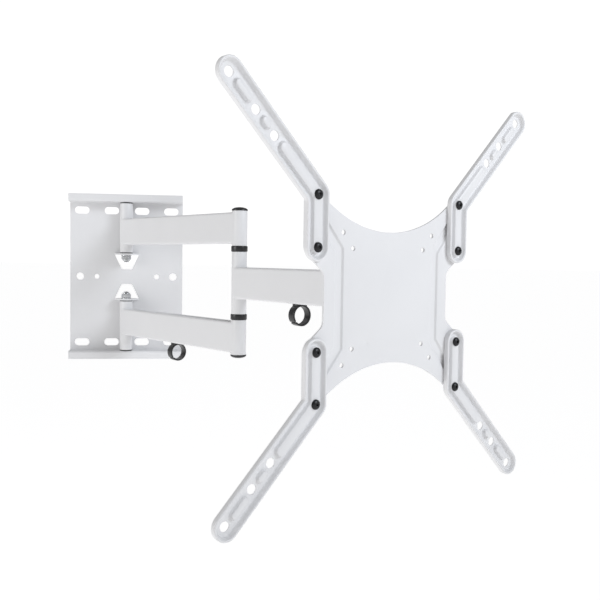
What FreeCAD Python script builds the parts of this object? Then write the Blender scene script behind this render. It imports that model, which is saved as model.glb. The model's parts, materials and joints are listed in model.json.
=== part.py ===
"""Full motion wall mount for a flat screen: wall plate, a pair of rear arms, one front arm,
a swivelling and tilting head, and a screen plate with four bolt-on extension arms.

Millimetres. The origin is the centre of the wall plate's back face, the wall lies at +Y,
the mount reaches out towards -Y, and +Z is up.
"""
import FreeCAD
import Part
import math
import os
from FreeCAD import Placement, Rotation, Vector

# ---------------------------------------------------------------- driving dimensions
# pose that the mount rests in, as plan angles from +X
REAR_ARM_ANGLE = -58.3       # rear arms, from the wall pivot to the elbow
FRONT_ARM_ANGLE = -61.9      # front arm, from the elbow to the head
PANEL_YAW = 30.6             # turn of the screen plate from facing straight out

# reach
REAR_ARM_LENGTH = 312.0      # wall pivot to elbow
FRONT_ARM_LENGTH = 232.0     # elbow to head swivel
PANEL_DROP = 6.3             # the screen plate's centre hangs this far below the front arm

# wall plate
WALL_PLATE_W = 178.0
WALL_SHEET = 2.5
FLANGE_UNDER = 118.5         # height of the flange's inner face above the centre
FLANGE_PAST_PIVOT = 10.0     # wall pivot axis to the lip's front face
LIP_H = 12.5                 # lip, from the flange's inner face to its free edge
BEND_R = 1.0                 # inside radius of every sheet bend
SLEEVE_STANDOFF = 2.0        # wall sleeves stay this far in front of the plate
SLOT_L, SLOT_W = 23.0, 11.5
SLOT_INNER_X = 24.0
SLOT_TO_SIDE = 18.5          # outer slots, from the plate's side edge to their centres
SLOT_TO_FLANGE = 12.5
MID_HOLE_R, MID_HOLE_TO_SIDE = 5.75, 15.4
SMALL_HOLE_X, SMALL_HOLE_R = 47.3, 3.75
TAB_UNDER = 35.0             # height of the lanced tab's inner face
TAB_PAST_PIVOT = 11.0        # wall pivot axis to the tab's tip
TAB_ROOT_W, TAB_TIP_W = 38.0, 16.0
TAB_CORNER_R = 4.0

# round sleeves, bushes and caps
SLEEVE_R = 10.0
SLEEVE_WALL = 2.0
BUSH_FLANGE = 1.5            # flange of the four wall bushes
BUSH_SPIGOT = 12.0
RING_H = 7.6                 # thick bush flange that shows as a ring at the elbow
RING_PROUD = 0.8             # the ring stands this far outside the sleeves
RING_EDGE_R = 1.2
FRONT_SLEEVE_HALF = 40.8     # half height of the front arm's elbow sleeve
SLEEVE_OVER_BEAM = 2.1       # each rear elbow sleeve is longer than its beam, at its outer end
SLEEVE_UNDER_BEAM = 2.8      # and at its inner end
CAP_DOME = 4.7
CAP_PROUD = 0.5
CAP_SPIGOT = 8.0
PLUG_H = 20.0                # steel plug in each rear elbow sleeve, which seats the bolt
PLUG_SETBACK = 1.0           # plug stays this far inside the sleeve's inner end
HEAD_SLEEVE_HALF = 30.0
HEAD_BUSH_FLANGE = 2.0

# arm beams, rectangular tube
BEAM_H = 41.0
BEAM_WALL = 2.0
BEAM_EDGE_R = 2.5
COPE_START = 3.0             # beam ends stop short of the sleeve axis

# fasteners
BOLT_R = 4.0                 # M8
BOLT_FLATS = 13.0
BOLT_HEAD_H = 5.3
NUT_HEX_H = 6.0
NUT_COLLAR_H = 2.0
NUT_COLLAR_R = 5.8
BOLT_TAIL = 2.0              # bolt end past the nut
WASHER_R, WASHER_T = 8.0, 1.6
SOCKET_HEAD_R, SOCKET_HEAD_H = 6.5, 8.0
SOCKET_FLATS = 6.0
SOCKET_DEPTH = 4.0
SCREW_R = 2.5                # M5
SCREW_HEAD_R, SCREW_HEAD_H = 5.0, 2.9
SCREW_SOCKET_FLATS = 3.0
SCREW_SOCKET_DEPTH = 1.6
SCREW_NUT_FLATS, SCREW_NUT_H = 8.0, 4.0

# head: swivel yoke, tilt channel and panel bracket
HEAD_SHEET = 3.0
YOKE_EAR_RIM = 3.0           # the ears reach this far past the sleeve
YOKE_W = 40.0
YOKE_REACH = 22.0            # head axis to the inside of the yoke's web
TILT_REACH = 12.0            # front of the tilt channel's base to the tilt axis
TILT_BACK = 16.0             # tilt axis to the screen plate's front face
TILT_EAR_R = 9.5
CHANNEL_HALF_H = 22.0
BRACKET_HALF_H = 30.0
FRICTION_WASHER_T = 1.5

# screen plate
PANEL_SHEET = 2.5
LOBE_R = 12.0                # corner of the four lobes, and from a fixing screw to the lobe's edge
WAIST_X, WAIST_Z, WAIST_R = 87.5, 25.8, 10.0
LOBE_FOOT_Z = 45.6           # where the sloping edge meets the lobe's outer edge
ARCH_APEX_Z = 67.0           # lowest point of the concave top edge
ARCH_R = 140.0
CHANNEL_X = 68.0             # centre of the pressed stiffening channel
CHANNEL_W = 12.0
CHANNEL_DEPTH = 2.0
CHANNEL_TURN_Z = 48.0
CHANNEL_END_X, CHANNEL_END_Z = 90.0, 75.0
HOLE_R = 2.5                 # screen holes of the plate
INNER_X, INNER_Z = 50.0, 50.0
OUTER_X, OUTER_Z = 63.0, 65.5

# extension arms
EXT_W = 27.0
EXT_DEPTH = 6.0
EXT_SHEET = 1.5
EXT_RIM = 4.0
EXT_RIB_H = 3.5              # ribs stand this far above the floor
EXT_LEG_X = 100.0            # both fixing screws
EXT_LOW_Z, EXT_BEND_Z = 50.0, 100.0
EXT_TIP = 200.0              # outermost hole, 400 x 400
EXT_HOLE_STEPS = (0.0, 29.0, 50.0)   # holes, measured back from the outermost one along each side
EXT_HOLE_R = 4.75
LONG_RIB_W, SHORT_RIB_W = 12.5, 9.0
RIB_TO_HOLE = 3.3            # between a rib's round end and the edge of the hole beside it

# cable clips
CLIP_REAR_AT, CLIP_FRONT_AT = 157.0, 136.0
CLIP_LENGTH = 11.0
CLIP_OUTER_R, CLIP_WALL = 12.8, 2.3
CLIP_PAD_T = 0.5             # least thickness of the flat pad under the beam
CLIP_PAD_HALF = 7.0
CLIP_MOUTH = 2.0
CLIP_MOUTH_ANGLE = 222.0
CLIP_PEG_R = 2.3
CLIP_PEG_H = 3.0

# clearances
RUNNING_GAP = 0.05           # radial, between a bolt and the bush or ear that turns on it
PRESS_GAP = 0.02             # radial, between a bush or plug and its sleeve
WELD_GAP = 0.05              # between a beam's coped end and its sleeve
BOLT_HOLE_GAP = 0.3          # radial, bolt holes that don't turn
THREAD_GAP = 0.03
CLIP_GAP = 0.1

# ---------------------------------------------------------------- sizes that follow
BORE_R = SLEEVE_R - SLEEVE_WALL
BEAM_T = 2 * SLEEVE_R        # the beams are as thick as the sleeves, so their faces run on
PIVOT_Y = -(WALL_SHEET + SLEEVE_STANDOFF + SLEEVE_R)
SLOT_OUTER_X = WALL_PLATE_W / 2 - SLOT_TO_SIDE
SLOT_Z = FLANGE_UNDER - SLOT_TO_FLANGE
MID_HOLE_X = WALL_PLATE_W / 2 - MID_HOLE_TO_SIDE
FLANGE_TOP = FLANGE_UNDER + WALL_SHEET
LIP_FRONT_Y = PIVOT_Y - FLANGE_PAST_PIVOT
TAB_LENGTH = SLEEVE_STANDOFF + SLEEVE_R + TAB_PAST_PIVOT
TAB_TOP = TAB_UNDER + WALL_SHEET
WALL_SLEEVE_LOW = TAB_TOP + BUSH_FLANGE
WALL_SLEEVE_TOP = FLANGE_UNDER - BUSH_FLANGE
REAR_SLEEVE_LOW = FRONT_SLEEVE_HALF + RING_H
REAR_BEAM_Z = REAR_SLEEVE_LOW + SLEEVE_UNDER_BEAM
REAR_SLEEVE_TOP = REAR_BEAM_Z + BEAM_H + SLEEVE_OVER_BEAM
PLUG_LOW = REAR_SLEEVE_LOW + PLUG_SETBACK
PLUG_TOP = PLUG_LOW + PLUG_H
YOKE_EAR_R = SLEEVE_R + YOKE_EAR_RIM
YOKE_EAR_Z = HEAD_SLEEVE_HALF + HEAD_BUSH_FLANGE
YOKE_TOP = YOKE_EAR_Z + HEAD_SHEET
WEB_FRONT = -(YOKE_REACH + HEAD_SHEET)
TILT_Y = WEB_FRONT - HEAD_SHEET - TILT_REACH
HEAD_REACH = TILT_BACK - TILT_Y   # head swivel to the screen plate's front face
PANEL_BACK_Y = -(HEAD_REACH - PANEL_SHEET)
CHANNEL_EAR_OUT = YOKE_W / 2
BRACKET_EAR_IN = CHANNEL_EAR_OUT + FRICTION_WASHER_T
BRACKET_EAR_OUT = BRACKET_EAR_IN + HEAD_SHEET
LOBE_X = EXT_LEG_X + LOBE_R
RIB_TOP = EXT_SHEET + EXT_RIB_H
EXT_HOLES = [EXT_TIP - step for step in EXT_HOLE_STEPS]

X_AXIS, Y_AXIS, Z_AXIS = Vector(1, 0, 0), Vector(0, 1, 0), Vector(0, 0, 1)
LEVEL_MIRROR = (Vector(0, 0, 0), Z_AXIS)


def plan_point(start, angle, length):
    """The point a given length from start, at a plan angle in degrees."""
    turn = math.radians(angle)
    return start + Vector(math.cos(turn), math.sin(turn), 0) * length


WALL_PIVOT = Vector(0, PIVOT_Y, 0)
ELBOW = plan_point(WALL_PIVOT, REAR_ARM_ANGLE, REAR_ARM_LENGTH)
HEAD = plan_point(ELBOW, FRONT_ARM_ANGLE, FRONT_ARM_LENGTH)

REAR_ARM_FRAME = Placement(WALL_PIVOT, Rotation(Z_AXIS, REAR_ARM_ANGLE))
FRONT_ARM_FRAME = Placement(ELBOW, Rotation(Z_AXIS, FRONT_ARM_ANGLE))
HEAD_FRAME = Placement(HEAD, Rotation(Z_AXIS, PANEL_YAW))
PANEL_FRAME = HEAD_FRAME.multiply(Placement(Vector(0, -HEAD_REACH, -PANEL_DROP), Rotation()))
WALL_FRAME = Placement()


# ---------------------------------------------------------------- helpers
def block(x, y, z):
    """A box from three (low, high) pairs."""
    return Part.makeBox(x[1] - x[0], y[1] - y[0], z[1] - z[0], Vector(x[0], y[0], z[0]))


def rod(radius, low, high, at=(0, 0)):
    """An upright cylinder between two heights."""
    return Part.makeCylinder(radius, high - low, Vector(at[0], at[1], low))


def pipe(outer, inner, low, high, at=(0, 0)):
    """An upright tube."""
    return rod(outer, low, high, at).cut(rod(inner, low - 1, high + 1, at))


def cross_rod(radius, low, high, y, z):
    """A cylinder along X."""
    return Part.makeCylinder(radius, high - low, Vector(low, y, z), X_AXIS)


def through_rod(radius, low, high, x, z):
    """A cylinder along Y."""
    return Part.makeCylinder(radius, high - low, Vector(x, low, z), Y_AXIS)


def hexagon(flats, low, high, at=(0, 0)):
    """An upright hexagonal prism with two of its flats square to Y."""
    corner = flats / math.sqrt(3)
    ring = [math.radians(60 * step) for step in range(7)]
    points = [Vector(at[0] + corner * math.cos(a), at[1] + corner * math.sin(a), low) for a in ring]
    return Part.Face(Part.makePolygon(points)).extrude(Vector(0, 0, high - low))


def prism(points, axis, low, high):
    """A polygon drawn square to an axis and extruded along it, for X, Y or Z."""
    place = {"X": lambda u, v: Vector(low, u, v),
             "Y": lambda u, v: Vector(u, low, v),
             "Z": lambda u, v: Vector(u, v, low)}[axis]
    run = {"X": X_AXIS, "Y": Y_AXIS, "Z": Z_AXIS}[axis] * (high - low)
    ring = [place(u, v) for u, v in points]
    return Part.Face(Part.makePolygon(ring + ring[:1])).extrude(run)


def union(shapes):
    """All the shapes joined into one, with the seams between coplanar faces removed."""
    first, *others = shapes
    return first.multiFuse(others).removeSplitter() if others else first


def round_edges(shape, radius, wanted):
    """Fillets the straight edges whose midpoint and direction pass the test."""
    chosen = []
    for edge in shape.Edges:
        if isinstance(edge.Curve, Part.Line):
            middle = edge.CenterOfMass
            direction = edge.tangentAt(edge.FirstParameter)
            if wanted(middle, direction):
                chosen.append(edge)
    return shape.makeFillet(radius, chosen) if chosen else shape


def near(value, target, slack=0.01):
    return abs(value - target) < slack


def slotted(length, width, x, z, low, high):
    """A horizontal slot cutter, run along Y."""
    half = (length - width) / 2
    ends = [through_rod(width / 2, low, high, x + side * half, z) for side in (-1, 1)]
    return union(ends + [block((x - half, x + half), (low, high), (z - width / 2, z + width / 2))])


def strip(points, width, low, high):
    """A band with round ends and bends that follows points in the XZ plane, run along Y."""
    pieces = [through_rod(width / 2, low, high, x, z) for x, z in points]
    for (x0, z0), (x1, z1) in zip(points, points[1:]):
        length = math.hypot(x1 - x0, z1 - z0)
        across = Vector(z0 - z1, 0, x1 - x0) * (width / 2 / length)
        start, end = Vector(x0, low, z0), Vector(x1, low, z1)
        ring = [start + across, end + across, end - across, start - across, start + across]
        pieces.append(Part.Face(Part.makePolygon(ring)).extrude(Vector(0, high - low, 0)))
    return union(pieces)


def mirrored(shape):
    """The same shape upside down about the mount's middle height."""
    return shape.mirror(*LEVEL_MIRROR)


def save(name, shapes, frame):
    """Writes one node, placed in the mount's own frame."""
    group = shapes if isinstance(shapes, list) else [shapes]
    placed = []
    for shape in group:
        copy = shape.copy()
        copy.Placement = frame.multiply(copy.Placement)
        placed.extend(copy.Solids)
    for solid in placed:
        if not solid.isValid():
            raise ValueError(name + " is not a valid solid")
    whole = placed[0] if len(placed) == 1 else Part.makeCompound(placed)
    whole.exportStep("parts/" + name + ".step")
    print(name, len(placed), "solid(s)", round(sum(s.Volume for s in placed)), "mm3")


# ---------------------------------------------------------------- fasteners
def hex_bolt(head_low, tail):
    """M8 bolt with its head on top, from the seat under the head down to its tail."""
    return union([hexagon(BOLT_FLATS, head_low, head_low + BOLT_HEAD_H), rod(BOLT_R, tail, head_low)])


def lock_nut(top):
    """M8 lock nut below a seat: a hexagon with its round collar underneath."""
    collar_top = top - NUT_HEX_H
    nut = union([hexagon(BOLT_FLATS, collar_top, top),
                 rod(NUT_COLLAR_R, collar_top - NUT_COLLAR_H, collar_top)])
    return nut.cut(rod(BOLT_R + THREAD_GAP, top - 20, top + 1))


def flat_washer(top):
    """M8 flat washer below a seat."""
    return pipe(WASHER_R, BOLT_R + BOLT_HOLE_GAP, top - WASHER_T, top)


def flanged_bush(seat, flange, flange_r=SLEEVE_R):
    """Plastic bush whose spigot fills a sleeve below the seat, with its flange on top."""
    spigot = rod(BORE_R - PRESS_GAP, seat - BUSH_SPIGOT, seat)
    body = union([spigot, rod(flange_r, seat, seat + flange)])
    return body.cut(rod(BOLT_R + RUNNING_GAP, seat - BUSH_SPIGOT - 1, seat + flange + 1))


NUT_H = NUT_HEX_H + NUT_COLLAR_H


# ---------------------------------------------------------------- wall plate
def wall_plate():
    """Sheet plate with a forward flange and a turned lip at top and bottom, and two lanced tabs."""
    half_w = WALL_PLATE_W / 2
    wide = (-half_w, half_w)
    bent = [block(wide, (-WALL_SHEET, 0), (-FLANGE_TOP, FLANGE_TOP))]
    for side in (-1, 1):
        flange_z = sorted((side * FLANGE_UNDER, side * FLANGE_TOP))
        lip_z = sorted((side * FLANGE_UNDER, side * (FLANGE_UNDER + LIP_H)))
        bent.append(block(wide, (LIP_FRONT_Y, 0), flange_z))
        bent.append(block(wide, (LIP_FRONT_Y, LIP_FRONT_Y + WALL_SHEET), lip_z))
    plate = union(bent)

    def along_x_at(y, z):
        return lambda middle, run: near(abs(run.x), 1) and near(middle.y, y) and near(abs(middle.z), z)

    outside_r = BEND_R + WALL_SHEET
    plate = round_edges(plate, outside_r, along_x_at(0, FLANGE_TOP))
    plate = round_edges(plate, BEND_R, along_x_at(-WALL_SHEET, FLANGE_UNDER))
    plate = round_edges(plate, outside_r, along_x_at(LIP_FRONT_Y, FLANGE_UNDER))
    plate = round_edges(plate, BEND_R, along_x_at(LIP_FRONT_Y + WALL_SHEET, FLANGE_TOP))

    cuts, tabs = [], []
    through = (-WALL_SHEET - 1, 1)
    tab_tip_y = -WALL_SHEET - TAB_LENGTH
    root, tip = TAB_ROOT_W / 2, TAB_TIP_W / 2
    for side in (-1, 1):
        window_z = (side * TAB_UNDER, side * (TAB_UNDER - TAB_LENGTH))
        window = prism([(-root, window_z[0]), (root, window_z[0]), (tip, window_z[1]), (-tip, window_z[1])],
                       "Y", *through)
        cuts.append(round_edges(window, TAB_CORNER_R,
                                lambda m, run, z=window_z[1]: near(abs(run.y), 1) and near(m.z, z)))
        tab_z = sorted((side * TAB_UNDER, side * TAB_TOP))
        tab = prism([(-root, 0), (root, 0), (root, -WALL_SHEET), (tip, tab_tip_y), (-tip, tab_tip_y),
                     (-root, -WALL_SHEET)], "Z", *tab_z)
        tabs.append(round_edges(tab, TAB_CORNER_R,
                                lambda m, run: near(abs(run.z), 1) and near(m.y, tab_tip_y)))
        for x in (-SLOT_OUTER_X, -SLOT_INNER_X, SLOT_INNER_X, SLOT_OUTER_X):
            cuts.append(slotted(SLOT_L, SLOT_W, x, side * SLOT_Z, *through))
        cuts.append(through_rod(MID_HOLE_R, *through, side * MID_HOLE_X, 0))
        cuts.append(through_rod(SMALL_HOLE_R, *through, side * SMALL_HOLE_X, 0))
        bolt_hole = sorted((side * (TAB_UNDER - 1), side * (FLANGE_TOP + 1)))
        cuts.append(rod(BOLT_R + BOLT_HOLE_GAP, *bolt_hole, (0, PIVOT_Y)))
    return union([plate] + tabs).cut(cuts)


def wall_fasteners():
    """Upper pivot bolt, its flat washer and its lock nut, below the tab."""
    nut_top = TAB_UNDER - WASHER_T
    bolt = hex_bolt(FLANGE_TOP, nut_top - NUT_H - BOLT_TAIL)
    return bolt, flat_washer(TAB_UNDER), lock_nut(nut_top)


# ---------------------------------------------------------------- arms
def beam(length, low, peg_at=None):
    """Rectangular tube between two sleeve axes, coped to fit round both sleeves."""
    half, inner = BEAM_T / 2, BEAM_T / 2 - BEAM_WALL
    tube = block((COPE_START, length - COPE_START), (-half, half), (low, low + BEAM_H))
    tube = round_edges(tube, BEAM_EDGE_R, lambda m, run: near(abs(run.x), 1))
    tube = tube.cut(block((0, length), (-inner, inner), (low + BEAM_WALL, low + BEAM_H - BEAM_WALL)))
    for x in (0, length):
        tube = tube.cut(rod(SLEEVE_R + WELD_GAP, low - 1, low + BEAM_H + 1, (x, 0)))
    if peg_at:
        tube = tube.cut(rod(CLIP_PEG_R + CLIP_GAP, low - 1, low + BEAM_WALL + 1, (peg_at, 0)))
    return tube


def elbow_plug():
    """Turned plug fixed inside a rear elbow sleeve, the seat of the elbow bolt or nut."""
    return pipe(BORE_R - PRESS_GAP, BOLT_R + BOLT_HOLE_GAP, PLUG_LOW, PLUG_TOP)


def elbow_bolt():
    """Long socket head bolt that runs from the upper plug to the nut under the lower plug."""
    tail = -(PLUG_TOP + NUT_H + BOLT_TAIL)
    head_top = PLUG_TOP + SOCKET_HEAD_H
    bolt = union([rod(SOCKET_HEAD_R, PLUG_TOP, head_top), rod(BOLT_R, tail, PLUG_TOP)])
    return bolt.cut(hexagon(SOCKET_FLATS, head_top - SOCKET_DEPTH, head_top + 1))


def elbow_cap():
    """Domed plastic cap pressed into the end of a rear elbow sleeve."""
    rim = SLEEVE_R + CAP_PROUD
    ball_r = (rim ** 2 + CAP_DOME ** 2) / (2 * CAP_DOME)
    ball = Part.makeSphere(ball_r, Vector(0, 0, REAR_SLEEVE_TOP + CAP_DOME - ball_r))
    dome = ball.common(rod(rim, REAR_SLEEVE_TOP, REAR_SLEEVE_TOP + CAP_DOME + 1))
    return union([dome, rod(BORE_R - CLIP_GAP, REAR_SLEEVE_TOP - CAP_SPIGOT, REAR_SLEEVE_TOP)])


def elbow_ring():
    """Bush of the front arm's elbow sleeve, with its thick round-edged flange on show."""
    flange_r = SLEEVE_R + RING_PROUD
    ring = flanged_bush(FRONT_SLEEVE_HALF, RING_H, flange_r)
    rims = [edge for edge in ring.Edges
            if isinstance(edge.Curve, Part.Circle) and near(edge.Curve.Radius, flange_r)]
    return ring.makeFillet(RING_EDGE_R, rims)


def cable_clip(at, under):
    """Open plastic loop that hangs under a beam by a peg, with its axis along the beam."""
    half = CLIP_LENGTH / 2
    middle_z = under - CLIP_OUTER_R - CLIP_PAD_T
    run = (at - half, at + half)
    loop = cross_rod(CLIP_OUTER_R, *run, 0, middle_z)
    loop = union([loop, block(run, (-CLIP_PAD_HALF, CLIP_PAD_HALF), (middle_z, under))])
    loop = loop.cut(cross_rod(CLIP_OUTER_R - CLIP_WALL, run[0] - 1, run[1] + 1, 0, middle_z))
    mouth = block((run[0] - 1, run[1] + 1), (0, CLIP_OUTER_R + 2), (-CLIP_MOUTH / 2, CLIP_MOUTH / 2))
    mouth.Placement = Placement(Vector(0, 0, middle_z), Rotation(X_AXIS, CLIP_MOUTH_ANGLE))
    loop = loop.cut([mouth, block((run[0] - 1, run[1] + 1), (-20, 20), (under, under + 10))])
    return union([loop, rod(CLIP_PEG_R, under - 1, under + CLIP_PEG_H, (at, 0))])


# ---------------------------------------------------------------- head
def swivel_yoke():
    """Sheet yoke whose two ears hold the head bolt above and below the front arm's sleeve."""
    half = YOKE_W / 2
    parts = [block((-half, half), (WEB_FRONT, -YOKE_REACH), (-YOKE_TOP, YOKE_TOP))]
    for side in (-1, 1):
        z = sorted((side * YOKE_EAR_Z, side * YOKE_TOP))
        parts.append(rod(YOKE_EAR_R, *z))
        parts.append(prism([(-YOKE_EAR_R, 0), (-half, -YOKE_REACH + 6), (-half, WEB_FRONT), (half, WEB_FRONT),
                            (half, -YOKE_REACH + 6), (YOKE_EAR_R, 0)], "Z", *z))
    yoke = union(parts).cut(rod(BOLT_R + BOLT_HOLE_GAP, -YOKE_TOP - 1, YOKE_TOP + 1))
    outside = lambda m, run: near(abs(run.x), 1) and near(m.y, WEB_FRONT) and near(abs(m.z), YOKE_TOP)
    inside = lambda m, run: near(abs(run.x), 1) and near(m.y, -YOKE_REACH) and near(abs(m.z), YOKE_EAR_Z)
    return round_edges(round_edges(yoke, BEND_R + HEAD_SHEET, outside), BEND_R, inside)


def ear_pair(base_y, half_h, ear_in, ear_out, hole_r):
    """Two upright ears that narrow from a base to a round end about the tilt axis."""
    ears = []
    for side in (-1, 1):
        x = sorted((side * ear_in, side * ear_out))
        taper = prism([(base_y, -half_h), (base_y, half_h), (TILT_Y, TILT_EAR_R), (TILT_Y, -TILT_EAR_R)],
                      "X", *x)
        ears.append(union([taper, cross_rod(TILT_EAR_R, *x, TILT_Y, 0)]))
    return [ear.cut(cross_rod(hole_r, -ear_out - 1, ear_out + 1, TILT_Y, 0)) for ear in ears]


def tilt_channel():
    """Channel welded to the front of the yoke, with the inner pair of tilt ears."""
    front = WEB_FRONT - HEAD_SHEET
    base = block((-CHANNEL_EAR_OUT, CHANNEL_EAR_OUT), (front, WEB_FRONT), (-CHANNEL_HALF_H, CHANNEL_HALF_H))
    ears = ear_pair(front, CHANNEL_HALF_H, CHANNEL_EAR_OUT - HEAD_SHEET, CHANNEL_EAR_OUT,
                    BOLT_R + BOLT_HOLE_GAP)
    return union([base] + ears)


def panel_bracket():
    """Channel welded to the back of the screen plate, with the outer pair of tilt ears."""
    back = PANEL_BACK_Y + HEAD_SHEET
    base = block((-BRACKET_EAR_OUT, BRACKET_EAR_OUT), (PANEL_BACK_Y, back), (-BRACKET_HALF_H, BRACKET_HALF_H))
    ears = ear_pair(back, BRACKET_HALF_H, BRACKET_EAR_IN, BRACKET_EAR_OUT, BOLT_R + RUNNING_GAP)
    return union([base] + ears)


def laid_along_tilt_axis(shape):
    """Turns an upright fastener so that its head end points to -X, on the tilt axis."""
    turned = shape.copy()
    turned.Placement = Placement(Vector(0, TILT_Y, 0), Rotation(Y_AXIS, -90))
    return turned


# ---------------------------------------------------------------- screen plate
def mirror_points(quarter):
    """A closed outline from the (x, z) corners of its upper right quarter, top to bottom."""
    lower = [(x, -z) for x, z in reversed(quarter)]
    right = quarter + lower
    return right + [(-x, z) for x, z in reversed(right)]


def screen_plate():
    """Butterfly plate: four lobes for the extension arms, arched edges and two pressed channels.

    Its own frame has the front face at y = 0 and the sheet behind it, at +y.
    """
    tall = EXT_BEND_Z + LOBE_R
    outline = mirror_points([(LOBE_X, tall), (LOBE_X, LOBE_FOOT_Z), (WAIST_X, WAIST_Z)])
    plate = prism(outline, "Y", 0, PANEL_SHEET)

    def upright_at(x, z):
        return lambda m, run: near(abs(run.y), 1) and near(abs(m.x), x) and near(abs(m.z), z)

    plate = round_edges(plate, LOBE_R, upright_at(LOBE_X, tall))
    plate = round_edges(plate, LOBE_R, upright_at(LOBE_X, LOBE_FOOT_Z))
    plate = round_edges(plate, WAIST_R, upright_at(WAIST_X, WAIST_Z))
    arches = [through_rod(ARCH_R, -1, PANEL_SHEET + 1, 0, side * (ARCH_APEX_Z + ARCH_R)) for side in (-1, 1)]
    plate = plate.cut(arches)

    grooves, ridges, holes = [], [], []
    for side in (-1, 1):
        path = [(side * CHANNEL_END_X, CHANNEL_END_Z), (side * CHANNEL_X, CHANNEL_TURN_Z),
                (side * CHANNEL_X, -CHANNEL_TURN_Z), (side * CHANNEL_END_X, -CHANNEL_END_Z)]
        ridges.append(strip(path, CHANNEL_W, 0, PANEL_SHEET + CHANNEL_DEPTH))
        grooves.append(strip(path, CHANNEL_W - 2 * CHANNEL_DEPTH, -1, CHANNEL_DEPTH))
        for up in (-1, 1):
            for x, z, radius in ((INNER_X, INNER_Z, HOLE_R), (OUTER_X, OUTER_Z, HOLE_R),
                                 (EXT_LEG_X, EXT_LOW_Z, SCREW_R + BOLT_HOLE_GAP),
                                 (EXT_LEG_X, EXT_BEND_Z, SCREW_R + BOLT_HOLE_GAP)):
                holes.append(through_rod(radius, -1, PANEL_SHEET + CHANNEL_DEPTH + 1, side * x, up * z))
    return union([plate] + ridges).cut(grooves + holes)


def rib_setback(width):
    """How far along each side a round-ended rib's end centre stays from the hole beside it."""
    return (EXT_HOLE_R + RIB_TO_HOLE + width / 2) / math.sqrt(2)


def extension_arm(side, up):
    """Pressed dog-leg arm: raised rim all round, a recessed floor, and raised ribs between holes."""
    leg = [(side * EXT_LEG_X, up * EXT_LOW_Z), (side * EXT_LEG_X, up * EXT_BEND_Z)]
    tip = (side * EXT_TIP, up * EXT_TIP)
    body = strip(leg + [tip], EXT_W, -EXT_DEPTH, 0)
    body = body.cut(strip(leg + [tip], EXT_W - 2 * EXT_RIM, -EXT_DEPTH - 1, -EXT_SHEET))
    rib_y = (-RIB_TOP, -EXT_SHEET / 2)
    long_end = EXT_HOLES[-1] - rib_setback(LONG_RIB_W)
    ribs = [strip(leg + [(side * long_end, up * long_end)], LONG_RIB_W, *rib_y)]
    for outer, inner in zip(EXT_HOLES, EXT_HOLES[1:]):
        start, end = outer - rib_setback(SHORT_RIB_W), inner + rib_setback(SHORT_RIB_W)
        ribs.append(strip([(side * start, up * start), (side * end, up * end)], SHORT_RIB_W, *rib_y))
    arm = union([body] + ribs)
    holes = [through_rod(EXT_HOLE_R, -EXT_DEPTH - 1, 1, side * at, up * at) for at in EXT_HOLES]
    holes += [through_rod(SCREW_R + BOLT_HOLE_GAP, -EXT_DEPTH - 1, 1, x, z) for x, z in leg]
    return arm.cut(holes)


def arm_screw(x, z):
    """M5 button head screw on the rib, with its socket towards the front."""
    seat = -RIB_TOP
    top = seat - SCREW_HEAD_H
    ball_r = (SCREW_HEAD_R ** 2 + SCREW_HEAD_H ** 2) / (2 * SCREW_HEAD_H)
    dome = Part.makeSphere(ball_r, Vector(x, top + ball_r, z)).common(
        through_rod(SCREW_HEAD_R, top - 1, seat, x, z))
    shank = through_rod(SCREW_R, seat - 0.5, PANEL_SHEET + SCREW_NUT_H + 1, x, z)
    socket = hexagon(SCREW_SOCKET_FLATS, 0, SCREW_SOCKET_DEPTH + 1)
    socket.Placement = Placement(Vector(x, top - 1, z), Rotation(X_AXIS, -90))
    return union([dome, shank]).cut(socket)


def arm_nut(x, z):
    """M5 nut on the back of the screen plate."""
    nut = hexagon(SCREW_NUT_FLATS, 0, SCREW_NUT_H).cut(rod(SCREW_R + THREAD_GAP, -1, SCREW_NUT_H + 1))
    nut.Placement = Placement(Vector(x, PANEL_SHEET, z), Rotation(X_AXIS, -90))
    return nut


# ---------------------------------------------------------------- the whole mount
os.makedirs("parts", exist_ok=True)

save("wall_plate", wall_plate(), WALL_FRAME)
PIVOT_FRAME = Placement(WALL_PIVOT, Rotation())
pivot_bolt, pivot_washer, pivot_nut = wall_fasteners()
save("wall_bolt_upper", pivot_bolt, PIVOT_FRAME)
save("wall_bolt_lower", mirrored(pivot_bolt), PIVOT_FRAME)
save("wall_nut_upper", pivot_nut, PIVOT_FRAME)
save("wall_nut_lower", mirrored(pivot_nut), PIVOT_FRAME)
save("wall_washers", [pivot_washer, mirrored(pivot_washer)], PIVOT_FRAME)

# rear arm pair: the lower arm is the upper one turned over, and only it carries a cable clip
TO_ELBOW = Placement(Vector(REAR_ARM_LENGTH, 0, 0), Rotation())
REAR_ELBOW_FRAME = REAR_ARM_FRAME.multiply(TO_ELBOW)
top_bush = flanged_bush(WALL_SLEEVE_TOP, BUSH_FLANGE)
inner_bush = flanged_bush(-WALL_SLEEVE_LOW, BUSH_FLANGE).mirror(*LEVEL_MIRROR)
wall_sleeve = pipe(SLEEVE_R, BORE_R, WALL_SLEEVE_LOW, WALL_SLEEVE_TOP)
elbow_sleeve = pipe(SLEEVE_R, BORE_R, REAR_SLEEVE_LOW, REAR_SLEEVE_TOP)
REAR_UNDER = -(REAR_BEAM_Z + BEAM_H)
rear_beams = {"upper": beam(REAR_ARM_LENGTH, REAR_BEAM_Z),
              "lower": beam(REAR_ARM_LENGTH, REAR_UNDER, CLIP_REAR_AT)}
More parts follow.
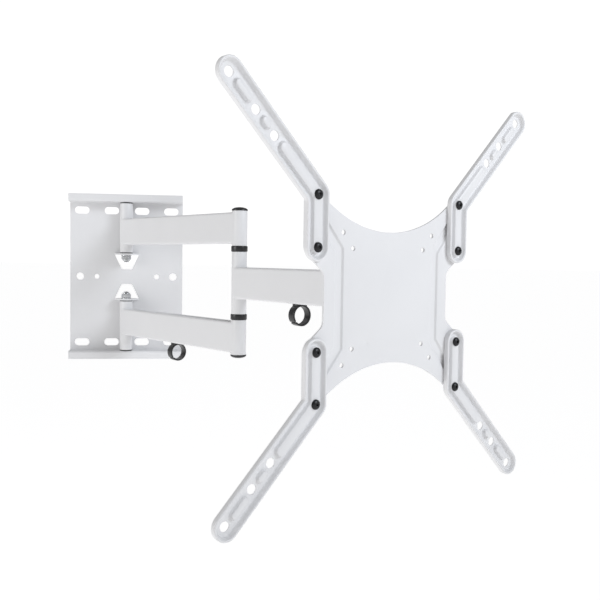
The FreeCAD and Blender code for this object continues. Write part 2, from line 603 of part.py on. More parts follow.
for level, flip in (("upper", lambda shape: shape), ("lower", mirrored)):
    save(level + "_wall_bush_outer", flip(top_bush), REAR_ARM_FRAME)
    save(level + "_wall_bush_inner", flip(inner_bush), REAR_ARM_FRAME)
    save(level + "_wall_sleeve", flip(wall_sleeve), REAR_ARM_FRAME)
    save(level + "_rear_beam", rear_beams[level], REAR_ARM_FRAME)
    save(level + "_elbow_sleeve", flip(elbow_sleeve), REAR_ELBOW_FRAME)
    save(level + "_elbow_plug", flip(elbow_plug()), REAR_ELBOW_FRAME)
    save(level + "_elbow_cap", flip(elbow_cap()), REAR_ELBOW_FRAME)
save("elbow_bolt", elbow_bolt(), REAR_ELBOW_FRAME)
save("elbow_nut", lock_nut(-PLUG_TOP), REAR_ELBOW_FRAME)
save("rear_cable_clip", cable_clip(CLIP_REAR_AT, REAR_UNDER), REAR_ARM_FRAME)

# front arm
HEAD_ON_ARM = Placement(Vector(FRONT_ARM_LENGTH, 0, 0), Rotation())
ARM_HEAD_FRAME = FRONT_ARM_FRAME.multiply(HEAD_ON_ARM)
head_bush = flanged_bush(HEAD_SLEEVE_HALF, HEAD_BUSH_FLANGE)
save("front_elbow_sleeve", pipe(SLEEVE_R, BORE_R, -FRONT_SLEEVE_HALF, FRONT_SLEEVE_HALF), FRONT_ARM_FRAME)
save("front_beam", beam(FRONT_ARM_LENGTH, -BEAM_H / 2, CLIP_FRONT_AT), FRONT_ARM_FRAME)
save("front_head_sleeve", pipe(SLEEVE_R, BORE_R, -HEAD_SLEEVE_HALF, HEAD_SLEEVE_HALF), ARM_HEAD_FRAME)
save("elbow_ring_upper", elbow_ring(), FRONT_ARM_FRAME)
save("elbow_ring_lower", mirrored(elbow_ring()), FRONT_ARM_FRAME)
save("head_bush_upper", head_bush, ARM_HEAD_FRAME)
save("head_bush_lower", mirrored(head_bush), ARM_HEAD_FRAME)
save("front_cable_clip", cable_clip(CLIP_FRONT_AT, -BEAM_H / 2), FRONT_ARM_FRAME)

# head
head_nut_top = -YOKE_TOP - WASHER_T
save("swivel_yoke", swivel_yoke(), HEAD_FRAME)
save("head_bolt", hex_bolt(YOKE_TOP, head_nut_top - NUT_H - BOLT_TAIL), HEAD_FRAME)
save("head_washer", flat_washer(-YOKE_TOP), HEAD_FRAME)
save("head_nut", lock_nut(head_nut_top), HEAD_FRAME)
save("tilt_channel", tilt_channel(), HEAD_FRAME)
tilt_seat = BRACKET_EAR_OUT + WASHER_T
tilt_washers = [flat_washer(tilt_seat), flat_washer(-BRACKET_EAR_OUT)]
save("tilt_bolt", laid_along_tilt_axis(hex_bolt(tilt_seat, -tilt_seat - NUT_H - BOLT_TAIL)), HEAD_FRAME)
save("tilt_nut", laid_along_tilt_axis(lock_nut(-tilt_seat)), HEAD_FRAME)
save("tilt_washers", [laid_along_tilt_axis(washer) for washer in tilt_washers], HEAD_FRAME)

# screen side
friction_washer = pipe(WASHER_R, BOLT_R + RUNNING_GAP, CHANNEL_EAR_OUT, BRACKET_EAR_IN)
friction_pair = [friction_washer, mirrored(friction_washer)]
save("friction_washers", [laid_along_tilt_axis(washer) for washer in friction_pair], HEAD_FRAME)
save("panel_bracket", panel_bracket(), HEAD_FRAME)
save("screen_plate", screen_plate(), PANEL_FRAME)
for up, level in ((1, "upper"), (-1, "lower")):
    for side, hand in ((-1, "left"), (1, "right")):
        corner = level + "_" + hand
        fixings = [(side * EXT_LEG_X, up * EXT_LOW_Z), (side * EXT_LEG_X, up * EXT_BEND_Z)]
        save("extension_arm_" + corner, extension_arm(side, up), PANEL_FRAME)
        save("arm_screws_" + corner, [arm_screw(x, z) for x, z in fixings], PANEL_FRAME)
        save("arm_nuts_" + corner, [arm_nut(x, z) for x, z in fixings], PANEL_FRAME)

for name, point in (("wall pivot", WALL_PIVOT), ("elbow", ELBOW), ("head", HEAD),
                    ("tilt", HEAD_FRAME.multVec(Vector(0, TILT_Y, 0))),
                    ("panel centre", PANEL_FRAME.multVec(Vector(0, 0, 0)))):
    print(name, [round(value, 3) for value in point])
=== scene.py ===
# %% [markdown]
# # A full motion wall mount, finished piece by piece
# The mount is sheet steel, square tube and round sleeves under a white powder coat, with black
# plastic rings, caps and cable clips and zinc bolts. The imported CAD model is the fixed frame: it says
# where every piece is and what it turns with. Each step below takes some of its plain solids, says how
# the real piece is made, and makes it again as a surface with its true folds, roundings and threads.

# %% The frame
import json
import math

import bmesh
import bpy
import numpy as np
from mathutils import Matrix, Vector
from mathutils.geometry import delaunay_2d_cdt

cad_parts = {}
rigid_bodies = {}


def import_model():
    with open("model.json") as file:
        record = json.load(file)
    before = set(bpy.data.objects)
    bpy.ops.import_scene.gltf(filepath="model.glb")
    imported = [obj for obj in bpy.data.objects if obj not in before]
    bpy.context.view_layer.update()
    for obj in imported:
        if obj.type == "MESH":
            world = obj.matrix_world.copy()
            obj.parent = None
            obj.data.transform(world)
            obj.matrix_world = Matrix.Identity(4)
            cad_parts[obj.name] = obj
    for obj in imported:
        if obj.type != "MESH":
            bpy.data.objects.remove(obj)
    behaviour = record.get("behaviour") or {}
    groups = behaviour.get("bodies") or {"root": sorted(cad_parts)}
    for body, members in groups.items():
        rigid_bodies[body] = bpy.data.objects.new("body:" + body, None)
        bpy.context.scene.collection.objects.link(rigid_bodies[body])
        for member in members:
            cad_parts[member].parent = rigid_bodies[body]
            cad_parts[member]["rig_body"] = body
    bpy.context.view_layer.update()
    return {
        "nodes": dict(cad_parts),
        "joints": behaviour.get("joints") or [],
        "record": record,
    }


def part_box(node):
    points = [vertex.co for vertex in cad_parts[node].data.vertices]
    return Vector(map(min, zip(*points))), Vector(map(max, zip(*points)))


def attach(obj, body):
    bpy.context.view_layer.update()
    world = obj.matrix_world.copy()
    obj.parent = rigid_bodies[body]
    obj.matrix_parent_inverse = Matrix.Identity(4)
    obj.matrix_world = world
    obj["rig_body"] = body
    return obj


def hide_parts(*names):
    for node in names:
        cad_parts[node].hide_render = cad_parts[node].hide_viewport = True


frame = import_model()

# %% [markdown]
# ## Where things are
# A mount like this is a chain: wall plate, rear arms, front arm, head, screen side. Its pieces are
# easiest to describe along the link that they belong to, so each link gets axes of its own: x along the
# link, z up, in millimetres. The joints and the screen holes in the record say where those axes lie.

# %% Axes of each link
MM = 0.001
joints = {joint["name"]: joint for joint in frame["joints"]}
mounts = {mount["name"]: mount for mount in frame["record"]["mounts"]}


def joint_point(name):
    """The point that a joint turns about, in millimetres."""
    return np.array(joints[name]["pos_m"]) / MM


def link_axes(origin, toward):
    """Axes at an origin: x along a level direction, z up, and y = z cross x."""
    along = np.array([toward[0], toward[1], 0.0])
    along /= np.linalg.norm(along)
    up = np.array([0.0, 0.0, 1.0])
    return origin, np.array([along, np.cross(up, along), up])


def shifted(axes, x):
    """The same axes, further along their own x."""
    origin, directions = axes
    return origin + x * directions[0], directions


wall_pivot = joint_point("wall_swing")
elbow = joint_point("elbow_swing")
head_pivot = joint_point("head_swivel")
tilt_point = joint_point("panel_tilt")
REAR_LENGTH = float(np.linalg.norm(elbow - wall_pivot))
FRONT_LENGTH = float(np.linalg.norm(head_pivot - elbow))
TILT_Y = -float(np.linalg.norm((tilt_point - head_pivot)[:2]))

WALL = link_axes(np.zeros(3), (1, 0))
PIVOT = link_axes(wall_pivot, (1, 0))
REAR = link_axes(wall_pivot, elbow - wall_pivot)
REAR_ELBOW = shifted(REAR, REAR_LENGTH)
FRONT = link_axes(elbow, head_pivot - elbow)
FRONT_HEAD = shifted(FRONT, FRONT_LENGTH)
HEAD = link_axes(head_pivot, joints["panel_tilt"]["axis"])
PANEL = link_axes(np.array(mounts["screen_100"]["pos_m"]) / MM, joints["panel_tilt"]["axis"])


def node_box(node):
    """Lowest and highest corner of a CAD node, in millimetres."""
    return [np.array(corner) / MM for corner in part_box(node)]


def heights(node):
    """Lowest and highest z of a CAD node, in millimetres."""
    return [corner[2] for corner in node_box(node)]


print(f"rear arms {REAR_LENGTH:.1f} mm, front arm {FRONT_LENGTH:.1f} mm, tilt axis {-TILT_Y:.1f} mm out")

# %% [markdown]
# ## From a formula to a piece
# A surface here is a block of points, computed as whole arrays, and the quads or triangles between
# them. `make_piece` carries the points from the link's axes to the mount's, closes seams and poles by
# merging doubled points, turns the faces outwards, and marks the sharp edges. It takes the place, the
# body and the finish of the CAD node that it stands for.

# %% Surfaces and pieces
slot_of = {part["node"]: part["material_slot"] for part in frame["record"]["subparts"]}
finishes = {}
BOX_SLACK = 0.2
MERGE_GAP = 2e-6
NO_LENGTH = 1e-7
outside = []


def grid(rows, columns, wrap_rows=False, wrap_columns=False):
    """The quads of a grid of points stored row by row, as corner numbers."""
    row = np.arange(rows if wrap_rows else rows - 1)
    column = np.arange(columns if wrap_columns else columns - 1)
    row, column = (part.ravel() for part in np.meshgrid(row, column, indexing="ij"))
    next_row = (row + 1) % rows
    next_column = (column + 1) % columns
    return np.column_stack([row * columns + column, row * columns + next_column,
                            next_row * columns + next_column, next_row * columns + column])


def joined(*surfaces):
    """Several surfaces as one: the points follow each other and the faces count on from them."""
    starts = np.cumsum([0] + [len(points) for points, _ in surfaces])
    faces = [block + start for (_, blocks), start in zip(surfaces, starts) for block in blocks]
    return np.concatenate([points for points, _ in surfaces]), faces


def flipped(surface, sign):
    """The surface upside down if sign is -1."""
    points, faces = surface
    return points * (1, 1, sign), faces


def mirrored_pair(surface):
    """A surface and its mirror image below the middle."""
    return joined(surface, flipped(surface, -1))


def merge_and_turn(mesh):
    """Merges doubled points, drops what has no area, and turns every closed shell outwards."""
    work = bmesh.new()
    work.from_mesh(mesh)
    bmesh.ops.remove_doubles(work, verts=work.verts, dist=MERGE_GAP)
    bmesh.ops.dissolve_degenerate(work, edges=work.edges, dist=NO_LENGTH)
    bmesh.ops.recalc_face_normals(work, faces=work.faces)
    work.to_mesh(mesh)
    work.free()


def added(name, data):
    """A new object in the scene for a mesh, a light or a camera."""
    item = bpy.data.objects.new(name, data)
    bpy.context.scene.collection.objects.link(item)
    return item


def make_piece(node, surface, axes, edge=0.0, crease=38):
    """Makes the fine piece of a CAD node. edge rounds its sharp edges to that radius."""
    points, faces = surface
    origin, directions = axes
    placed = origin + points @ directions
    mesh = bpy.data.meshes.new("fine_" + node)
    corners = [corner for block in faces for corner in block.tolist()]
    mesh.from_pydata(placed * MM, [], corners)
    merge_and_turn(mesh)
    mesh.shade_smooth()
    mesh.set_sharp_from_angle(angle=math.radians(crease))
    mesh.materials.append(finishes[slot_of[node]])
    piece = added("fine_" + node, mesh)
    if edge:
        rounding = piece.modifiers.new("edge", "BEVEL")
        rounding.width = edge * MM
        rounding.segments = 2
        rounding.limit_method = "ANGLE"
        rounding.angle_limit = math.radians(crease)
        rounding.harden_normals = True
    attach(piece, frame["nodes"][node]["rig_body"])
    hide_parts(node)
    low, high = node_box(node)
    past = max((low - placed.min(0)).max(), (placed.max(0) - high).max())
    if past > BOX_SLACK:
        outside.append((node, round(float(past), 2)))


print("slots in use:", sorted(set(slot_of.values())))

# %% [markdown]
# ## Outlines with round corners
# Pressed and turned metal has no sharp corner. One helper rounds any polygon: an arc of radius r
# touches both sides at r / tan(half the corner's angle) from the corner. The same helper shapes a
# blank's outline, the path of a fold, and the profile that a lathe follows.

# %% Rounded corners
def unit(vector):
    return vector / np.linalg.norm(vector)


def rounded(corners, radii, steps=6, closed=True):
    """A polygon, or an open path, with each corner replaced by an arc of its radius."""
    corners = np.asarray(corners, float)
    path = []
    for number, (corner, radius) in enumerate(zip(corners, np.broadcast_to(radii, len(corners)))):
        if radius == 0 or (not closed and number in (0, len(corners) - 1)):
            path.append(corner[None])
            continue
        back = unit(corners[number - 1] - corner)
        ahead = unit(corners[(number + 1) % len(corners)] - corner)
        half = math.acos(np.clip(back @ ahead, -1, 1)) / 2
        centre = corner + unit(back + ahead) * radius / math.sin(half)
        start = corner + back * radius / math.tan(half) - centre
        end = corner + ahead * radius / math.tan(half) - centre
        sweep = math.pi - 2 * half
        t = np.linspace(0, 1, steps + 1)[:, None]
        arc = (np.sin((1 - t) * sweep) * start + np.sin(t * sweep) * end) / math.sin(sweep)
        path.append(centre + arc)
    return np.concatenate(path)


def rectangle(left, right, low, high):
    """The four corners of a rectangle, in turn."""
    return [(left, low), (right, low), (right, high), (left, high)]


def divided(loop, longest=5.0):
    """A closed loop whose long sides are cut into equal runs no longer than a length."""
    path = []
    for a, b in zip(loop, np.roll(loop, -1, 0)):
        runs = max(1, math.ceil(np.linalg.norm(b - a) / longest))
        path.append(np.linspace(a, b, runs, endpoint=False))
    return np.concatenate(path)


def circle(x, z, radius, steps=40):
    """A round outline: (x + r cos t, z + r sin t)."""
    t = np.arange(steps) * 2 * np.pi / steps
    return np.column_stack([x + radius * np.cos(t), z + radius * np.sin(t)])


def arc_points(x, z, radius, start, end, steps):
    """Points along an arc between two angles in degrees."""
    t = np.radians(np.linspace(start, end, steps))
    return np.column_stack([x + radius * np.cos(t), z + radius * np.sin(t)])


print("a rounded square has", len(rounded([(0, 0), (1, 0), (1, 1), (0, 1)], 0.2)), "points")

# %% [markdown]
# ## Turned pieces
# Sleeves, bushes, rings, caps and washers come off a lathe or out of a round mould. Their surface is a
# profile of radius against height, turned about the axis. A hexagon is the same profile cut back by
# six flats, which gives a bolt head the curved edges that its chamfer has on the real thing.

# %% Lathe, hexagon and thread
TURNS = 72


def turned(profile, wrap=False, turns=TURNS):
    """A profile (r, h) turned once: x = r cos t, y = r sin t, z = h."""
    profile = np.asarray(profile, float)
    t = np.arange(turns) * 2 * np.pi / turns
    points = np.stack([np.outer(profile[:, 0], np.cos(t)), np.outer(profile[:, 0], np.sin(t)),
                       np.repeat(profile[:, 1:], turns, 1)], -1)
    return points.reshape(-1, 3), [grid(len(profile), turns, wrap, True)]


def hex_radius(t, flats):
    """Distance from the axis to a hexagon's side: (flats / 2) / cos(angle from the nearest flat)."""
    return flats / 2 / np.cos((t % (np.pi / 3)) - np.pi / 6)


def hex_turned(profile, flats, wrap=False):
    """A turned profile cut by a hexagonal prism: r = min(profile radius, hexagon radius)."""
    points, faces = turned(profile, wrap)
    radius = np.hypot(points[:, 0], points[:, 1])
    limit = hex_radius(np.arctan2(points[:, 1], points[:, 0]) + 2 * np.pi, flats)
    scale = np.minimum(radius, limit) / np.maximum(radius, 1e-9)
    points[:, :2] *= scale[:, None]
    return points, faces


def collar(inner, outer, low, high, radius=0.4):
    """A closed ring with rounded edges, such as a sleeve, washer or plug."""
    return turned(rounded(rectangle(inner, outer, low, high), radius, 4), wrap=True)


def rod(radius, low, high):
    """A plain solid rod."""
    return turned(rectangle(0, radius, low, high))


def threaded(radius, low, high, pitch, depth):
    """A threaded rod: r = radius - depth * v, where v goes 0, 1, 0 once per pitch along a helix."""
    rows = np.arange(low, high, pitch / 8)
    t = np.arange(TURNS) * 2 * np.pi / TURNS
    height, angle = np.meshgrid(rows, t, indexing="ij")
    phase = (height / pitch - angle / (2 * np.pi)) % 1
    taper = np.clip((height - low) / pitch, 0, 1)
    r = radius - depth * (1 - np.abs(2 * phase - 1) * taper)
    body = np.stack([r * np.cos(angle), r * np.sin(angle), height], -1)
    end = np.zeros((1, TURNS, 3)) + (0, 0, low)
    top = np.zeros((1, TURNS, 3)) + (0, 0, rows[-1])
    points = np.concatenate([end, body, top])
    return points.reshape(-1, 3), [grid(len(points), TURNS, False, True)]


print("one turned ring has", len(collar(8, 10, 0, 5)[0]), "points")

# %% [markdown]
# ## Sheet metal: cut flat, then folded
# The wall plate, the yoke and the brackets start as flat blanks. A blank is an outline with holes,
# meshed by a Delaunay triangulation that keeps to those loops. The fold is a path with round bends: a
# point u across and v along the blank goes to the path's point at length v, so the bend needs no
# special case, and the slots stay exact because they were cut while the sheet was flat.

# %% Blanks and folds
def inside_loops(points, loops):
    """True where a point is inside the outline and outside the holes: it has an odd number of crossings."""
    inside = np.zeros(len(points), bool)
    x = points[:, :1]
    y = points[:, 1:]
    for a in loops:
        b = np.roll(a, -1, 0)
        rise = b[:, 1] - a[:, 1]
        safe = np.where(rise == 0, 1e-12, rise)
        crosses = (a[:, 1] > y) != (b[:, 1] > y)
        inside ^= (crosses & (x < a[:, 0] + (y - a[:, 1]) / safe * (b[:, 0] - a[:, 0]))).sum(1) % 2 == 1
    return inside


def blank(outline, holes=(), rings=(), creases=()):
    """A flat blank as (points, triangles). Rings and creases are lines that its triangles keep to."""
    cuts = [np.asarray(loop, float) for loop in (outline, *holes)]
    points = []
    edges = []
    start = 0
    for loop in cuts + [np.asarray(ring, float) for ring in rings]:
        numbers = np.arange(len(loop))
        edges += (start + np.column_stack([numbers, np.roll(numbers, -1)])).tolist()
        points.append(loop)
        start += len(loop)
    for crease in creases:
        edges.append([start, start + 1])
        points.append(np.array(crease, float))
        start += 2
    made = delaunay_2d_cdt([Vector(p) for p in np.concatenate(points)], edges, [], 0, 1e-6, False)
    flat = np.array([tuple(v) for v in made[0]])
    triangles = np.array(made[2])
    triangles = triangles[inside_loops(flat[triangles].mean(1), cuts)]
    used, renumbered = np.unique(triangles, return_inverse=True)
    return flat[used], renumbered.reshape(-1, 3)


def sheet(flat, triangles, front, back):
    """A closed sheet from a blank and the two functions that carry it to its faces."""
    count = len(flat)
    sides = np.concatenate([triangles[:, [0, 1]], triangles[:, [1, 2]], triangles[:, [2, 0]]])
    keys = sides[:, 0] * count + sides[:, 1]
    reverse = sides[:, 1] * count + sides[:, 0]
    rim = sides[~np.isin(keys, reverse)]
    wall = np.column_stack([rim, rim[:, ::-1] + count])
    return np.concatenate([front(flat), back(flat)]), [triangles, triangles[:, ::-1] + count, wall]


def fold(corners, bend_radius, thickness, steps=6):
    """The path of a folded sheet's middle: (length along it, points, normals), bends as arcs."""
    path = rounded(corners, bend_radius + thickness / 2, steps, closed=False)
    step = np.diff(path, axis=0)
    length = np.concatenate([[0], np.cumsum(np.linalg.norm(step, axis=1))])
    run = step / np.linalg.norm(step, axis=1)[:, None]
    run = np.concatenate([run[:1], (run[1:] + run[:-1]) / 2, run[-1:]])
    run /= np.linalg.norm(run, axis=1)[:, None]
    return length, path, np.column_stack([-run[:, 1], run[:, 0]])


def folded(path, thickness, plane, outline, holes=()):
    """A blank folded along a path. plane names the two axes of the path: u runs along the third."""
    length, points, normals = path
    outline = np.asarray(outline, float)
    across = outline[:, 0].min(), outline[:, 0].max()
    creases = [((across[0] - 1, v), (across[1] + 1, v)) for v in length[1:-1]]
    flat, triangles = blank(outline, holes, creases=creases)
    first, second = ("xyz".index(axis) for axis in plane)

    def face(depth):
        def place(flat):
            spot = np.zeros((len(flat), 3))
            spot[:, 3 - first - second] = flat[:, 0]
            for column, axis in enumerate((first, second)):
                middle = np.interp(flat[:, 1], length, points[:, column])
                spot[:, axis] = middle + depth * np.interp(flat[:, 1], length, normals[:, column])
            return spot
        return place

    return sheet(flat, triangles, face(-thickness / 2), face(thickness / 2))


print("blank of a 10 mm square:", len(blank([(0, 0), (10, 0), (10, 10), (0, 10)])[1]), "triangles")

# %% [markdown]
# ## Finishes
# Powder coat is a thick paint baked on from dry grains: satin, very slightly uneven in tone, with a
# fine orange-peel surface. The plastic is moulded in a spark-eroded tool, so it has a fine matt grain.
# Zinc plate is a bright metal with cloudy patches, and black oxide is a dark, oily one. All four are a
# principled shader whose tone and gloss drift with one noise while a much finer one stands out as bump.

# %% The four finishes
def set_inputs(node, values):
    """The node, with a value put at each of the inputs that are named."""
    for name, value in values.items():
        node.inputs[name].default_value = value
    return node


def finish(name, tones, gloss, grain, metallic=0.0, drift=25.0, bump=0.15):
    """A principled material: base colour and roughness each drift between two values.

    grain is (features per metre, height in metres) of the fine surface.
    """
    material = bpy.data.materials.new(name)
    material.use_nodes = True
    nodes = material.node_tree.nodes
    links = material.node_tree.links
    shader = set_inputs(nodes["Principled BSDF"], {"Metallic": metallic})
    place = nodes.new("ShaderNodeTexCoord")
    cloud = set_inputs(nodes.new("ShaderNodeTexNoise"), {"Scale": drift, "Detail": 4.0})
    fine = set_inputs(nodes.new("ShaderNodeTexNoise"), {"Scale": grain[0], "Detail": 2.0})
    tone = nodes.new("ShaderNodeMix")
    tone.data_type = "RGBA"
    set_inputs(tone, {"A": (*tones[0], 1), "B": (*tones[1], 1)})
    shine = set_inputs(nodes.new("ShaderNodeMapRange"), {"To Min": gloss[0], "To Max": gloss[1]})
    relief = set_inputs(nodes.new("ShaderNodeBump"), {"Strength": bump, "Distance": grain[1]})
    for texture in (cloud, fine):
        links.new(place.outputs["Object"], texture.inputs["Vector"])
    links.new(cloud.outputs["Fac"], tone.inputs["Factor"])
    links.new(cloud.outputs["Fac"], shine.inputs["Value"])
    links.new(tone.outputs["Result"], shader.inputs["Base Color"])
    links.new(shine.outputs["Result"], shader.inputs["Roughness"])
    links.new(fine.outputs["Fac"], relief.inputs["Height"])
    links.new(relief.outputs["Normal"], shader.inputs["Normal"])
    return material


finishes["white_coat"] = finish("white_powder_coat", ((0.705, 0.705, 0.715), (0.735, 0.735, 0.745)),
                                (0.34, 0.46), (900.0, 0.0002), bump=0.07)
finishes["black_plastic"] = finish("black_moulded_nylon", ((0.010, 0.010, 0.011), (0.016, 0.016, 0.017)),
                                   (0.24, 0.36), (1800.0, 0.0001))
finishes["black_screws"] = finish("black_oxide_steel", ((0.008, 0.008, 0.009), (0.018, 0.018, 0.020)),
                                  (0.28, 0.42), (2500.0, 0.00005), metallic=0.4, drift=120.0)
finishes["zinc_steel"] = finish("bright_zinc_plate", ((0.30, 0.31, 0.32), (0.80, 0.81, 0.82)),
                                (0.12, 0.24), (1600.0, 0.00006), metallic=1.0, drift=150.0)
print("finishes:", sorted(finishes))

# %% [markdown]
# ## Wall plate
# One blank of 2.5 mm steel, folded forward at the top and bottom into flanges with a turned lip. The
# row of slots takes wall screws with room to shift sideways. Two windows in the middle are where the
# tabs were cut and bent out, and each tab carries the inner end of a pivot bolt.

# %% Wall plate blank and fold
SHEET = 2.5
SHEET_EDGE = 0.35
BEND = 1.0
FLANGE_UNDER = 118.5
TAB_UNDER = 35.0
CLEAR_R = 4.3
plate_low, plate_high = node_box("wall_plate")
lip_y = plate_low[1] + SHEET / 2
flange_z = FLANGE_UNDER + SHEET / 2
plate_path = fold([(lip_y, -plate_high[2]), (lip_y, -flange_z), (-SHEET / 2, -flange_z),
                   (-SHEET / 2, flange_z), (lip_y, flange_z), (lip_y, plate_high[2])], BEND, SHEET)
plate_length, plate_points, _ = plate_path
PLATE_MIDDLE = plate_length[-1] / 2
PIVOT_Y = wall_pivot[1]
SLOT_X = (-70.5, -24.0, 24.0, 70.5)
SLOT_Z = 106.0
SLOT_HALF_L = 11.5
SLOT_HALF_W = 5.74
ROUND_HOLES = ((73.6, 5.75), (47.3, 3.75))
WINDOW_ROOT = 19.0
WINDOW_TIP = 8.0
WINDOW_END = 12.0


def plate_holes(side):
    """The openings in the upper (side 1) or lower (side -1) half of the plate's blank."""
    middle = PLATE_MIDDLE
    holes = []
    for x in SLOT_X:
        corners = rectangle(x - SLOT_HALF_L, x + SLOT_HALF_L, -SLOT_HALF_W, SLOT_HALF_W)
        holes.append(rounded(corners, SLOT_HALF_W - 0.02, 12) + (0, middle + side * SLOT_Z))
    window = rounded([(-WINDOW_ROOT, TAB_UNDER), (WINDOW_ROOT, TAB_UNDER), (WINDOW_TIP, WINDOW_END),
                      (-WINDOW_TIP, WINDOW_END)], (0.6, 0.6, 4.0, 4.0))
    holes.append(window * (1, side) + (0, middle))
    half = plate_length >= middle
    out = np.interp(-PIVOT_Y, -plate_points[half, 0], plate_length[half]) - middle
    holes.append(circle(0, middle + side * out, CLEAR_R))
    return holes + [circle(side * x, middle, radius) for x, radius in ROUND_HOLES]


plate_w = plate_high[0]
plate_l = plate_length[-1]
plate_outline = rounded(rectangle(-plate_w, plate_w, 0, plate_l), 1.5)
wall_plate = folded(plate_path, SHEET, "yz", plate_outline, plate_holes(1) + plate_holes(-1))
TAB_TIP_Y = PIVOT_Y - 11.0
tab_path = fold([(-SHEET / 2, TAB_UNDER + SHEET / 2), (TAB_TIP_Y, TAB_UNDER + SHEET / 2)], BEND, SHEET)
tab_l = tab_path[0][-1]
tab_outline = rounded([(-WINDOW_ROOT, 0), (WINDOW_ROOT, 0), (WINDOW_ROOT, SHEET / 2),
                       (WINDOW_TIP, tab_l), (-WINDOW_TIP, tab_l), (-WINDOW_ROOT, SHEET / 2)],
                      (0, 0, 0.5, 4.0, 4.0, 0.5))
tab = folded(tab_path, SHEET, "yz", tab_outline, [circle(0, -SHEET / 2 - PIVOT_Y, CLEAR_R)])
make_piece("wall_plate", joined(wall_plate, mirrored_pair(tab)), WALL, edge=SHEET_EDGE)
print(f"wall plate blank {2 * plate_w:.0f} x {plate_l:.1f} mm, folded to {2 * plate_high[2]:.0f} mm tall")

# %% [markdown]
# ## Bolts, lock nuts and washers
# Every pivot is an M8 bolt with a lock nut, which stays put while the joint turns. A bolt head is
# forged and then chamfered. A lock nut has a round collar, rolled in at the end where a nylon ring
# would sit. The same three functions serve the wall, the head and the tilt axis.

# %% Fasteners
BOLT_R = 4.0
BOLT_HEAD = 5.3
M8_THREAD = (1.25, 0.6)
FLATS = 13.0
WASHER = 1.6
LEVELS = (("upper", 1), ("lower", -1))
CHAMFER_SLOPE = math.tan(math.radians(30))


def chamfer_cone(flats):
    """Radii from a hexagon's end face out to its corners, and the cone's drop at each."""
    face = 0.95 * flats / 2
    cone = np.linspace(face, flats / math.sqrt(3), 7)
    return cone, (cone - face) * CHAMFER_SLOPE


def chamfered(flats, low, high, inner=0.0):
    """Profile of a hexagon's upper end: flat, then a cone that leaves the corners rounded."""
    cone, drop = chamfer_cone(flats)
    return [(inner, high), *zip(cone, high - drop), (cone[-1], low)]


def bolt(tail, top):
    """M8 bolt standing on its thread: shank, chamfered head and a washer face under it."""
    seat = top - BOLT_HEAD
    head = chamfered(FLATS, seat + 0.3, top)[::-1]
    under = [(0, seat), (0.46 * FLATS, seat), (0.46 * FLATS, seat + 0.3)]
    thread_top = tail + 14
    return joined(hex_turned(under + head, FLATS), threaded(BOLT_R, tail, thread_top, *M8_THREAD),
                  rod(BOLT_R, thread_top - 0.2, seat + 0.1))


def lock_nut(low, high, flats=FLATS, bore=4.03, collar_h=2.0, collar_r=5.8):
    """Lock nut with its collar underneath: a hexagon with both ends chamfered, a rolled collar, a bore."""
    foot = low + collar_h
    upper = chamfered(flats, (foot + high) / 2, high, bore)
    cone, rise = chamfer_cone(flats)
    lower = [*zip(cone, foot + rise)][::-1]
    dome = arc_points(collar_r - 1.2, low + 1.2, 1.2, 0, -90, 6).tolist()
    lip = [(bore + 1.3, low), (bore + 1.0, low + 0.5), (bore, low + 0.5)]
    return hex_turned(upper + lower + [(collar_r, foot)] + dome + lip, flats, wrap=True)


def washer(low, high, inner=CLEAR_R, outer=8.0):
    """Stamped washer, with all its edges rounded alike."""
    return collar(inner, outer, low, high, 0.35)


def both_levels(node, build, axes, *sizes):
    """The same piece above and below the middle, named with upper and lower at its end."""
    for level, sign in LEVELS:
        made = build(*heights(f"{node}_upper"), *sizes)
        make_piece(f"{node}_{level}", flipped(made, sign), axes)


both_levels("wall_bolt", bolt, PIVOT)
both_levels("wall_nut", lock_nut, PIVOT)
make_piece("wall_washers", mirrored_pair(washer(TAB_UNDER - WASHER, TAB_UNDER)), PIVOT)
print("wall bolts run from {:.1f} to {:.1f} mm above the middle".format(*heights("wall_bolt_upper")))

# %% [markdown]
# ## Sleeves, bushes, rings and caps
# Each pivot is a round sleeve with a plastic bush pressed into both ends. At the wall the bush shows as
# a thin black line; at the elbow its flange is a thick ring, and a domed cap closes each outer end.

# %% Round pieces
SLEEVE_R = 10.0
BORE_R = 8.0
SPIGOT_R = 7.98
WALL_FLANGE = 1.5
RING_FLANGE = 7.6
RING_R = 10.8
HEAD_FLANGE = 2.0


def turned_over(surface, low, high):
    """The surface with its ends exchanged between two heights."""
    points, faces = surface
    return points * (1, 1, -1) + (0, 0, low + high), faces


def sleeve(low, high):
    return collar(BORE_R, SLEEVE_R, low, high, 0.5)


def bush(low, high, flange, outer=SLEEVE_R, edge=0.4):
    """Flanged bush with its flange on top: a spigot that fills the sleeve and a rounded rim."""
    seat = high - flange
    bore = BOLT_R + 0.05
    corners = [(bore, low), (SPIGOT_R, low), (SPIGOT_R, seat), (outer, seat), (outer, high), (bore, high)]
    return turned(rounded(corners, (0.3, 0.5, 0.05, edge, edge, 0.3), 6), wrap=True)


def cap(low, high, rim=10.5, lip=0.9):
    """Domed cap: the dome is r = rim cos t, h = seat + lip + height sin t."""
    seat = low + 8.0
    t = np.linspace(0, np.pi / 2, 20)
    dome = np.column_stack([rim * np.cos(t), seat + lip + (high - seat - lip) * np.sin(t)])
    foot = [(0, low), (7.9, low), (7.9, seat), (rim - 0.4, seat), (rim - 0.1, seat + 0.12),
            (rim, seat + 0.4)]
    return turned(np.concatenate([foot, dome]))


